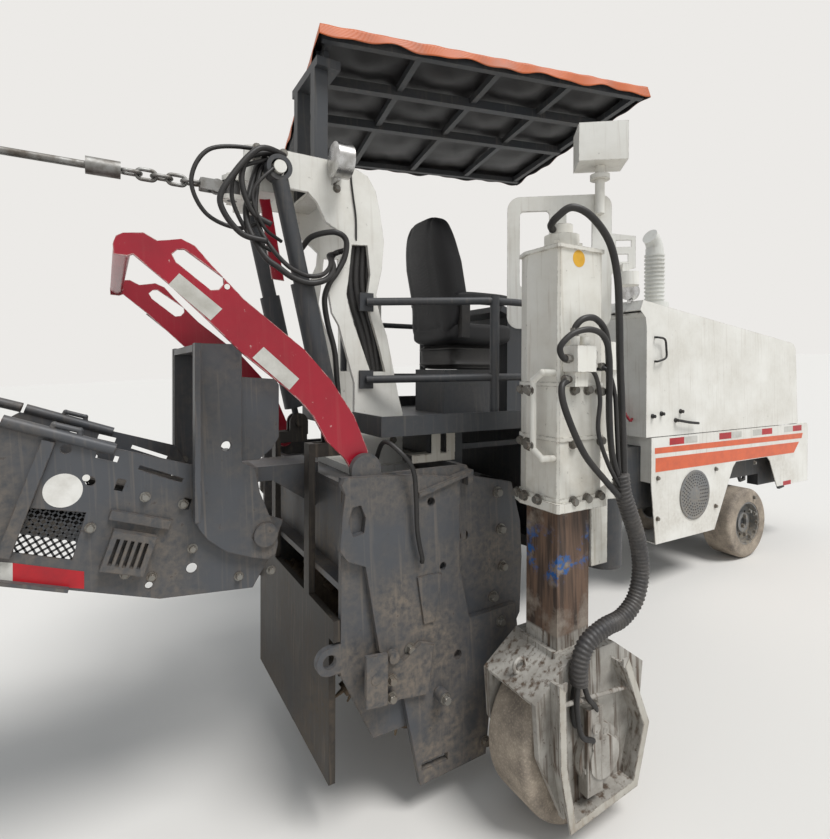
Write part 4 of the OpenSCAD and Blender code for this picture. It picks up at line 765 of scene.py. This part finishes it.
base, base_faces = pad([500, 480, 130])
base[:, 2] += 18 * (np.abs(base[:, 1]) / 240) ** 3 - 12 * np.cos(base[:, 0] / 160)
base[:, 2] -= groove(np.abs(base[:, 1]), 130, 9, 8) * (base[:, 2] > 0)
seat_base = seat_piece("seat_base", base + [330, 240, 1908], base_faces)

arm, arm_faces = pad([390, 62, 66], 0.55, 20, 32)
arm_parts = [(arm + [315, y, 2105], arm_faces.tolist()) for y in (-2, 482)]
arms = seat_piece("seat_arms", *joined(arm_parts))

bellows, bellows_faces = pad([380, 400, 150], 0.3, 61, 48)
swell = 1 - 0.06 * (1 + np.cos(bellows[:, 2] / 150 * 2 * np.pi * 5)) / 2
bellows[:, :2] *= swell[:, None]
suspension = piece("seat_bellows", bellows + [310, 240, 1776], bellows_faces, "hose_rubber", "machine")
stalks = plates("seat_stalks", [rectangle((150, 205), (1900, 2100)), rectangle((150, 205), (1880, 1900))],
                1, -22, 18, "black_nylon", "machine")
far_stalks = plates("seat_far_stalks", [rectangle((150, 205), (1880, 2100))], 1, 462, 502, "black_nylon",
                    "machine")
for part in (seat_back, seat_base, arms, suspension, stalks, far_stalks):
    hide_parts("seat")
print("seat pads:", len(back) + len(base) + 2 * len(arm), "points")

# %% [markdown]
# Stripes and reflectors along the engine bay. Each is a film 0.6 mm thick, raised from its outline just
# proud of the panel, and the far side gets the same set.

# %% Stripes and reflectors on the body
BODY_SIDES = {"right": (-50.2, -51.0), "left": (1060.2, 1061.0)}
STRIPES = [[(1807, 1147), (1807, 1105), (3921, 1086), (3943, 1132)],
           [(1816, 1074), (1816, 974), (3783, 964), (3874, 1055)]]
# start, end along the body and the colour of each reflector
REFLECTORS = [(1976, 2150, "red"), (2150, 2316, "silver"), (2608, 2776, "red"), (2776, 2925, "silver"),
              (3099, 3239, "silver"), (3239, 3405, "red"), (3608, 3760, "silver"), (3760, 3920, "red")]
for side, (skin, top) in BODY_SIDES.items():
    plates(f"stripes_{side}", STRIPES, 1, skin, top, "orange_vinyl_film", "machine")
    for colour in ("red", "silver"):
        spans = [(a, b) for a, b, c in REFLECTORS if c == colour]
        plates(f"{colour}_reflectors_{side}", [rectangle(span, (1156, 1206)) for span in spans], 1, skin, top,
               f"{colour}_reflective_film", "machine")
plates("bumper_reflector", [rectangle((3599, 3733), (687, 724))], 1, *BODY_SIDES["right"],
       "red_reflective_film", "machine")
print("stripes on", len(BODY_SIDES), "sides")

# %% [markdown]
# The round cover on the side panel is a dished steel lid behind which the fan draws air. Around it are the
# door's handles: a loop at the rear, a long lever and four latches.

# %% Round cover, handles and latches of the engine bay
COVER = [2286, -50, 761]
cover_profile = [(186, -1), (186, 7), (174, 9), (166, 5), (120, 3), (96, 4), (60, 6), (24, 10), (8, 11)]
discs("side_cover", "lower_body", [COVER], [0, 1, 0], cover_profile, "mid_grey_paint", "machine", 64)
# the air holes are black discs just proud of the lid: painted shade of the dark space behind them
rings = [(r, np.linspace(0, 2 * np.pi, int(r / 4.4), endpoint=False)) for r in (70, 92, 114, 136, 156)]
hole_shade_discs = [circle((COVER[0] + r * math.cos(a), COVER[2] + r * math.sin(a)), 5, 8)
               for r, angles in rings for a in angles]
plates("hole_shade_discs", hole_shade_discs, 1, -55.2, -56.6, "black_nylon", "machine")
loop = [[1798, -50, 1933], [1800, -78, 1931], [1868, -82, 1918], [1884, -82, 1850], [1884, -80, 1790],
        [1804, -78, 1764], [1800, -50, 1762]]
rods("bay_loop_handle", [loop], 15, "black_nylon", "hood_body")
rods("bay_lever", [[[2041, -56, 1335], [2050, -82, 1334], [2150, -86, 1318], [2262, -84, 1306],
                    [2276, -80, 1305]]], 20, "black_nylon", "hood_body")
latch = [(17, -1), (17, 8), (12, 12), (12, 26), (7, 28)]
discs("bay_latches", "hood", [[1776, -50, 1375], [1876, -50, 1389], [2101, -50, 1398], [2041, -50, 1335]],
      [0, 1, 0], latch, "black_nylon", "hood_body", 16)
bolts("body_bolts", "lower_body", [[x, -50, z] for x in (1840, 2560, 3120) for z in (930, 640)], [0, 1, 0],
      22, "machine")
print("round cover holes:", len(hole_shade_discs))

# %% [markdown]
# The lifting column is bolted together from thick plate. Its bolts run in rows down the rear and the outer
# face, and a plain yellow disc marks its top. The far column gets the same rows, mirrored.

# %% Column bolts and disc
FACE = -1045.0
COLUMN_BOLT = 26
outer_rows = [[-86, FACE, 1220], [-15, FACE, 1223], [54, FACE, 1226], [-82, FACE, 1431], [64, FACE, 1433],
              [-79, FACE, 1627], [-7, FACE, 1626]]
left_rows = [[x, -FACE, z] for z in (1222, 1428, 1626) for x in (-82, -10, 60)]
rear_rows = [[-160, y, z] for z in (1219, 1423, 1624) for y in (-830, -888, -961)]
left_rear_rows = [[x, -y, z] for x, y, z in rear_rows]
bolts("column_outer_bolts", "column_right", outer_rows, [0, 1, 0], COLUMN_BOLT, "swing_column")
bolts("column_rear_bolts", "column_right", rear_rows, [1, 0, 0], COLUMN_BOLT, "swing_column")
discs("column_disc", "column_right", [[-55, FACE, 2109]], [0, 1, 0], [(31, -0.5), (31, 0.8)],
      "yellow_vinyl_film", "swing_column")
bolts("left_column_bolts", "column_left", left_rows, [0, -1, 0], COLUMN_BOLT, "machine")
bolts("left_column_rear_bolts", "column_left", left_rear_rows, [1, 0, 0], COLUMN_BOLT, "machine")
print("column bolts:", 2 * len(outer_rows + rear_rows))

# %% [markdown]
# The red bow and the conveyor carry films too. The bow has two silver panels on each arm, set at the arm's
# own slant. The conveyor has a band of silver and red at its low corner and a round white plate.

# %% Films on the bow and the conveyor
BOW_SIDES = {"right": (-625.2, -626.2), "left": (405.2, 406.2)}
CONVEYOR_SIDES = {"right": (-400.2, -401.2), "left": (160.2, 161.2)}
BOW_PANELS = [[(-1358, 1997), (-1230, 1894), (-1266, 1855), (-1389, 1959)],
              [(-1097, 1774), (-974, 1666), (-1009, 1628), (-1134, 1737)]]
for side, (skin, top) in BOW_SIDES.items():
    plates(f"bow_panels_{side}", BOW_PANELS, 1, skin, top, "silver_reflective_film", "bow")
CONVEYOR_FILMS = {
    "silver": ([[(-1834, 1111), (-1803, 1102), (-1803, 1037), (-1834, 1046)]], "silver_reflective_film"),
    "red": ([[(-1803, 1102), (-1617, 1040), (-1617, 984), (-1803, 1037)]], "red_reflective_film"),
    "plate": ([circle((-1674, 1310), 54, 40), circle((-1611, 1344), 11, 16)], "white_vinyl_film"),
}
plates("bow_spot", [circle((-1215, 1967), 9, 16)], 1, -625.2, -626.4, "white_vinyl_film", "bow")
bolts("bow_pin_bolts", "guard_bow", [[-730, -625, 1330]], [0, 1, 0], 40, "bow")
for side, (skin, top) in CONVEYOR_SIDES.items():
    for film, (outlines, finish) in CONVEYOR_FILMS.items():
        plates(f"conveyor_{film}_{side}", outlines, 1, skin, top, finish, "conveyor")
print("films on the bow:", len(BOW_PANELS) * 2)

# %% [markdown]
# Behind the window of each side plate of the conveyor lies expanded metal. A picture with holes would do
# from afar; here it is real strips along both diagonals of the field, so that one can see through it.

# %% Expanded metal, and the bolts of the conveyor
CONVEYOR_PIVOT = (-1040, 1080)
CONVEYOR_RISE = math.radians(18.4)


def on_conveyor(x, z):
    """A place along the conveyor and square to it, in mm from its pivot, to chassis (x, z)."""
    c, s = math.cos(CONVEYOR_RISE), math.sin(CONVEYOR_RISE)
    return (CONVEYOR_PIVOT[0] + x * c + z * s, CONVEYOR_PIVOT[1] - x * s + z * c)


def expanded_metal(x, z, pitch, width):
    """Strips along both diagonals of a field: x - z, then x + z, steps by the pitch from its least value."""
    half = width / math.sqrt(2)
    strips = []
    for way in (1, -1):
        near, far = sorted(-way * level for level in z)
        for c in np.arange(x[0] + near, x[1] + far, pitch):
            a, b = max(x[0], c - far), min(x[1], c - near)
            if b - a > 2 * width:
                corners = ((a, -half), (a, half), (b, half), (b, -half))
                strips.append([on_conveyor(v + shift, way * (v - c)) for v, shift in corners])
    return strips


mesh_strips = expanded_metal((-790, -566), (-204, -22), 25, 6)
plates("window_mesh_right", mesh_strips, 1, -392.2, -389, "dark_grey_paint", "conveyor")
plates("window_mesh_left", mesh_strips, 1, 152.2, 149, "dark_grey_paint", "conveyor")
EDGE_BOLTS = [(-1440, 1262), (-1320, 1222), (-1200, 1130), (-1290, 1060), (-1130, 930), (-1010, 930),
              (-1500, 1010), (-1420, 985), (-1600, 1180), (-1250, 1290), (-1160, 1240)]
for name, y, way in (("conveyor_bolts", -400, 1), ("conveyor_bolts_left", 160, -1)):
    bolts(name, "conveyor_frame", [[x, y, z] for x, z in EDGE_BOLTS], [0, way, 0], 22, "conveyor")
print("strips of expanded metal:", 2 * len(mesh_strips))

# %% [markdown]
# Bolts of the cheek plate and of its sliding edge plate, a bracket between them, the wheel nuts and the
# mast's bolts. The nuts stand on a ring round each hub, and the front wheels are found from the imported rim,
# because they are steered.

# %% Bolts and wheel nuts
NUT_RING = 105
CHEEK_BOLTS = [(-642, 700), (-600, 1190), (-560, 1120), (-120, 1180), (-100, 1020), (-90, 860), (-140, 740)]
EDGE_PLATE_BOLTS = [(-658, 568), (-658, 503), (-428, 431), (-120, 640), (-560, 640), (-200, 160)]
bolts("cheek_bolts", "drum_housing", [[x, -700, z] for x, z in CHEEK_BOLTS], [0, 1, 0], 30, "machine")
bolts("edge_plate_bolts", "edge_plate_right", [[x, -720, z] for x, z in EDGE_PLATE_BOLTS], [0, 1, 0], 28,
      "plate_right")
plates("cheek_bracket", [[(-528, 1231), (-274, 1296), (-274, 1244), (-300, 1236), (-300, 1272),
                          (-528, 1212)]], 1, -660, -700, "slate_grey_paint", "machine")
front_low, front_high = (from_floor(v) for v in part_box("rim_front_right"))
front_x, _, front_z = (front_low + front_high) / 2
# middle of each axle, and the nuts' y on its right and left wheel
for axle, x_mid, z_mid, sides in (("rear", 0, 300, (FACE, -FACE)), ("front", front_x, front_z, (-60, 1080))):
    for side, y, way in zip(("right", "left"), sides, (1, -1)):
        nuts = [[x_mid + NUT_RING * math.cos(a), y, z_mid + NUT_RING * math.sin(a)]
                for a in np.arange(8) * math.pi / 4]
        bolts(f"wheel_nuts_{axle}_{side}", f"rim_{axle}_{side}", nuts, [0, way, 0], 24,
              f"wheel_{axle}_{side}")
TOWER_BOLTS = [(-1046, 2517), (-1046, 2563), (-941, 2517), (-941, 2563), (-705, 2469), (-600, 1380),
               (-430, 1380)]
bolts("tower_bolts", "tower", [[x, -330, z] for x, z in TOWER_BOLTS], [0, 1, 0], 22, "machine")
print("wheel nuts:", 4 * len(nuts))

# %% [markdown]
# Hydraulic lines of the right leg. They leave the valve block and the column's top, hang in loops, and run
# down to the wheel motor inside a ribbed protective sleeve. The sleeve spans the lifting joint and rides on
# no body.

# %% Hoses of the right leg
LEG_HOSES = [
    (28, [[-80, 107, 2235], [-106, 90, 2247], [-112, 50, 2268], [-80, 10, 2296], [-10, -16, 2268],
          [80, -24, 2184], [124, -26, 2060], [137, -26, 1900], [140, -28, 1740], [144, -34, 1560],
          [134, -50, 1390], [126, -60, 1250]]),
    (24, [[-112, -36, 1824], [-112, -40, 1856], [-80, -50, 1884], [-20, -52, 1884], [36, -50, 1830],
          [54, -48, 1700], [54, -50, 1520], [70, -56, 1360], [108, -60, 1240]]),
    (22, [[-138, -40, 1740], [-180, -46, 1742], [-204, -56, 1780], [-160, -72, 1826], [-87, -86, 1842],
          [-12, -80, 1818], [22, -76, 1740], [26, -74, 1560], [46, -70, 1400], [100, -64, 1270]]),
    (24, [[-131, -26, 1666], [-180, -40, 1640], [-180, -58, 1560], [-106, -74, 1408], [4, -76, 1300],
          [84, -72, 1232]]),
    (16, [[-60, -20, 1700], [-40, -60, 1690], [-20, -70, 1600], [-30, -72, 1480], [20, -74, 1360],
          [96, -70, 1260]]),
    (16, [[20, -20, 1705], [40, -50, 1700], [70, -60, 1620], [84, -60, 1480], [96, -60, 1340],
          [112, -62, 1250]]),
]
leg_hoses = hoses("leg_hoses", LEG_HOSES, FACE, 14, "swing_column")
SLEEVE = [[104, -62, 1310], [118, -62, 1240], [146, -66, 1170], [186, -74, 1060], [200, -80, 940],
          [164, -84, 840], [90, -82, 784], [0, -78, 768], [-80, -70, 728], [-112, -66, 660], [-112, -64, 590]]
sleeve_path = smooth_path(np.array(SLEEVE) + [0, FACE, 0], 26)
along = np.concatenate([[0], np.cumsum(np.linalg.norm(np.diff(sleeve_path, axis=0), axis=1))])
sleeve = piece("leg_hose_sleeve", *tube(sleeve_path, 30.5 + 2.2 * np.sin(along / 15 * 2 * np.pi), 20),
               "sleeve_plastic")
MOTOR_HOSES = [
    (20, [[-112, -56, 610], [-118, -43, 540], [-120, -43, 480], [-112, -45, 434], [-86, -47, 420]]),
    (20, [[-104, -70, 612], [-84, -80, 540], [-50, -80, 500], [-30, -70, 470]]),
    (20, [[-124, -72, 612], [-140, -80, 520], [-120, -84, 420], [-60, -84, 380]]),
]
motor_hoses = hoses("leg_motor_hoses", MOTOR_HOSES, FACE, 12, "leg_right_body")
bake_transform(sleeve)
for part in (leg_hoses, sleeve, motor_hoses):
    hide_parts("hose_bundle")
fitting = [(13, -2), (13, 10), (17, 10), (17, 24), (15, 28)]
ends = [([-112, -36, 1822], [0, 0, 1]), ([-136, -40, 1740], [-1, 0, 0]), ([-128, -26, 1666], [-1, 0, 0]),
        ([34, -12, 1712], [0, -1, 0]), ([35, -12, 1620], [0, -1, 0]), ([-60, -12, 1700], [0, -1, 0])]
points, faces = joined([turned_shape(np.array(p) + [0, FACE, 0], way, fitting, 12, (2, 3))
                        for p, way in ends])
piece("valve_fittings", points, faces, "zinc_plated_bolt", "swing_column", smooth=False)
print("sleeve is", round(along[-1]), "mm long")

# %% [markdown]
# The guard round the wheel motor is a hexagonal wall with a rim, worn to pale paint on its edges. The rim
# is covered by a thin ring: its outline is the guard's own, moved outwards and inwards along the corners'
# bisectors.

# %% Guard rim and platform ledge
GUARD_FACE = -1134.2
RIM_THICK = 1.2
GUARD = np.array([(-110, 610), (-215, 610), (-205, 330), (-160, 118), (160, 148), (222, 350), (110, 610),
                  (98, 610)], float)


def moved_out(outline, d):
    """Each corner moved d along (n1 + n2) / (1 + n1 . n2), of n1 and n2, the outward normals beside it."""
    edge = np.diff(np.vstack([outline, outline[:1]]), axis=0)
    edge = edge / np.linalg.norm(edge, axis=1, keepdims=True)
    normal = np.stack([-edge[:, 1], edge[:, 0]], axis=1)
    before = np.roll(normal, 1, axis=0)
    turn = (normal + before) / (1 + (normal * before).sum(axis=1, keepdims=True))
    return outline - d * turn


def rim_strip(outline, wide, narrow, y, thick):
    """A flat strip that follows an open outline, from narrow to wide, at y and thick mm outwards."""
    inner = moved_out(outline, narrow)[1:-1]
    outer = moved_out(outline, wide)[1:-1]
    rows = [np.insert(edge, 1, level, axis=1) for edge, level in
            ((inner, y), (outer, y), (outer, y - thick), (inner, y - thick))]
    points = np.stack(rows, axis=0).reshape(-1, 3)
    n = len(inner)
    ends = [[0, n, 2 * n, 3 * n], [n - 1, 2 * n - 1, 3 * n - 1, 4 * n - 1]]
    return points, quads(4, n, round_rows=True).tolist() + ends


rim_points, rim_faces = rim_strip(GUARD, 19.5, -9.5, GUARD_FACE, RIM_THICK)
piece("guard_rim", rim_points, rim_faces, "pale_worn_paint", "leg_right_body", smooth=False)
plates("platform_ledge", [rectangle((-470, -256), (1312, 1344)), rectangle((-375, -330), (1344, 1437)),
                          rectangle((-300, -255), (1344, 1437))], 1, -540.2, -541.6, "pale_worn_paint",
       "machine")
plates("ledge_top", [[(-470, -541), (-256, -541), (-256, -481), (-470, -481)]], 2, 1345.1, 1346.3,
       "pale_worn_paint", "machine")
print("guard rim:", len(rim_points), "points")

# %% [markdown]
# Hoses of the mast. Its valve block feeds the lift cylinders through loops that stand out behind it, and
# four thick hoses fill the slot of its plate. They are one piece, in place of the plain ones of the model.
# One more hose runs from the housing's roof over the cheek and rides on no body; the edge plate slides
# up past the cheek's upper edge.

# %% Hoses of the mast
MAST = -300.0
MAST_HOSES = [
    (22, [[-990, -24, 2543], [-1000, -50, 2541], [-1090, -86, 2495], [-1120, -96, 2400], [-1080, -96, 2290],
          [-1010, -100, 2250]]),
    (22, [[-950, -25, 2543], [-956, -60, 2541], [-1060, -110, 2525], [-1160, -120, 2400], [-1200, -120, 2300],
          [-1130, -120, 2200], [-1030, -118, 2180]]),
    (24, [[-840, 60, 2210], [-806, 20, 2257], [-726, -26, 2276], [-674, -28, 2250], [-678, -26, 2177],
          [-713, -24, 2108], [-747, -22, 2057], [-766, -20, 1991], [-750, -13, 1895], [-718, -13, 1775],
          [-706, -13, 1640], [-690, -13, 1500], [-660, -12, 1430], [-640, 4, 1400]]),
    (24, [[-1020, -10, 2530], [-1050, -34, 2480], [-1086, -60, 2353], [-1098, -70, 2293], [-1088, -86, 2221],
          [-1039, -112, 2125], [-987, -122, 2085], [-934, -124, 2052], [-871, -124, 2037], [-815, -122, 2048],
          [-765, -88, 2082], [-735, -40, 2128], [-718, 24, 2175], [-690, 50, 2205], [-660, 18, 2215]]),
    (18, [[-990, -10, 2530], [-1040, -50, 2460], [-1064, -76, 2320], [-1050, -90, 2229], [-1005, -114, 2149],
          [-961, -122, 2102], [-925, -124, 2080], [-870, -124, 2064], [-815, -122, 2074], [-768, -76, 2112],
          [-740, -20, 2152], [-724, 40, 2192], [-690, 18, 2200]]),
    (8, [[-640, -2, 2535], [-638, -5, 2500], [-630, -5, 2442], [-618, -5, 2361], [-616, -5, 2280],
         [-612, 6, 2256]]),
    (16, [[-1010, -24, 2530], [-1080, -60, 2540], [-1230, -70, 2500], [-1290, -70, 2380], [-1240, -60, 2270],
          [-1130, -60, 2230], [-1040, -70, 2260]]),
    (16, [[-970, -24, 2525], [-1030, -70, 2500], [-1130, -80, 2440], [-1150, -80, 2330], [-1080, -70, 2200],
          [-1000, -60, 2160]]),
    (14, [[-930, -24, 2530], [-1000, -90, 2470], [-1080, -100, 2360], [-1040, -100, 2240],
          [-960, -60, 2200]]),
]
# places down the slot: x of its left edge, its width there, y and z
SLOT = [(-700, 60, 40, 2566), (-650, 60, 42, 2420), (-620, 86, 42, 2300), (-636, 108, 42, 2060),
        (-566, 92, 42, 1817), (-520, 70, 42, 1541), (-560, 130, 42, 1277)]
SLOT_HOSES = [(34, [[x + width * share, y, z] for x, width, y, z in SLOT])
              for share in (0.08, 0.36, 0.64, 0.92)]
mast = hoses("mast_hoses", MAST_HOSES + SLOT_HOSES, MAST, 12, "machine")
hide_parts("tower_hoses")
roof = seated("drum_housing", [[-620, -500, 1500]], [0, 0, -1])[0]
over_cheek = [roof, roof + [-14, -40, 90], [-650, -640, 1425], [-617, -706, 1395], [-570, -724, 1326],
              [-552, -716, 1212], [-544, -711, 1100], [-532, -711, 1030], [-520, -709, 985],
              [-516, -700, 965]]
cheek_hose = rods("cheek_hose", [over_cheek], 18, "hose_rubber", None, 12, 8)
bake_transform(cheek_hose)
print("mast hoses:", len(MAST_HOSES), "roof at", roof.round())

# %% [markdown]
# The last small things: the red flat strut beside the lift cylinder, the louvres on the hood, a red lever
# on its rear wall and the grip of its lid. Louvres are raised strips in two rows, seated on the sloping
# lid.

# %% Strut, louvres and lever
plates("red_strut", [[(-1018, 2386), (-976, 2393), (-917, 2065), (-968, 2069)]], 1, -246, -254,
       "red_gloss_paint", "machine")
louvre_y = [200 + 70 * i for i in range(10)]
for i, x in enumerate((2900, 3250)):
    rows = [seated("hood", [[x, y, 2300], [x + 240, y, 2300]], [0, 0, -1]) for y in louvre_y]
    bars = [smooth_path(np.array([r[0] + [0, 0, -3], (r[0] + r[1]) / 2 + [0, 0, -1], r[1] + [0, 0, -3]]), 4)
            for r in rows]
    points, faces = joined([tube(bar, 13, 8) for bar in bars])
    piece(f"louvres_{i}", points, faces, "white_enamel_on_steel", "hood_body")
grip = seated("hood", [[1700, 152, 1473], [1700, 64, 1350]], [1, 0, 0])
rods("rear_wall_lever", [[grip[0], grip[0] + [-34, 0, 4], grip[1] + [-34, 0, -4], grip[1]]], 18,
     "red_gloss_paint", "hood_body")
print("red lever from", grip.round().tolist())
rods("hood_lid_grip", [[[2400, 460, 2168], [2400, 460, 2215], [2520, 460, 2208], [2520, 460, 2160]]], 14,
     "black_nylon", "hood_body")
print("louvres:", 2 * len(louvre_y))

# %% [markdown]
# The stage is a plain pale floor under plain soft light: one broad lamp high on the right, as the sun stood
# in the yard, and an even sky. The sky and the floor look pale to the camera, also in gloss, without
# lighting the machine more.

# %% Floor, sky and lamp
FLOOR_REACH = 80.0
SKY_STRENGTH = 0.62
LAMP_ENERGY = 2.6
LAMP_WIDTH = 24
LAMP_WAY = (-0.25, 0.55, -1.0)


def stage_floor():
    """A square floor at z = 0, whose face points up."""
    mesh = bpy.data.meshes.new("floor")
    corners = [(x * FLOOR_REACH, y * FLOOR_REACH, 0) for x, y in ((-1, -1), (1, -1), (1, 1), (-1, 1))]
    mesh.from_pydata(corners, [], [(0, 1, 2, 3)])
    floor = bpy.data.objects.new("floor", mesh)
    bpy.context.scene.collection.objects.link(floor)
    m = blank("pale_floor")
    mesh.materials.append(finished(m, add(m, "BsdfPrincipled", Base_Color=linear("#d9d6d1"), Roughness=0.9)))
    return floor


stage_floor()
world = bpy.data.worlds.new("sky")
bpy.context.scene.world = world
world.use_nodes = True
world.node_tree.nodes.clear()
rays = add(world, "LightPath", out=None).outputs
seen = add(world, "Math", rays["Is Camera Ray"], rays["Is Glossy Ray"], operation="MAXIMUM")
sky = add(world, "Background", linear("#e6ecf2"), SKY_STRENGTH)
pale = add(world, "Background", linear("#eceae7"))
add(world, "OutputWorld", add(world, "MixShader", seen, sky, pale), out=None)

lamp = bpy.data.objects.new("high_lamp", bpy.data.lights.new("high_lamp", "SUN"))
lamp.data.energy = LAMP_ENERGY
lamp.data.angle = math.radians(LAMP_WIDTH)
lamp.rotation_euler = Vector(LAMP_WAY).to_track_quat("-Z", "Y").to_euler()
bpy.context.scene.collection.objects.link(lamp)
bpy.context.scene.view_settings.view_transform = "Standard"
print("lamp energy", lamp.data.energy)
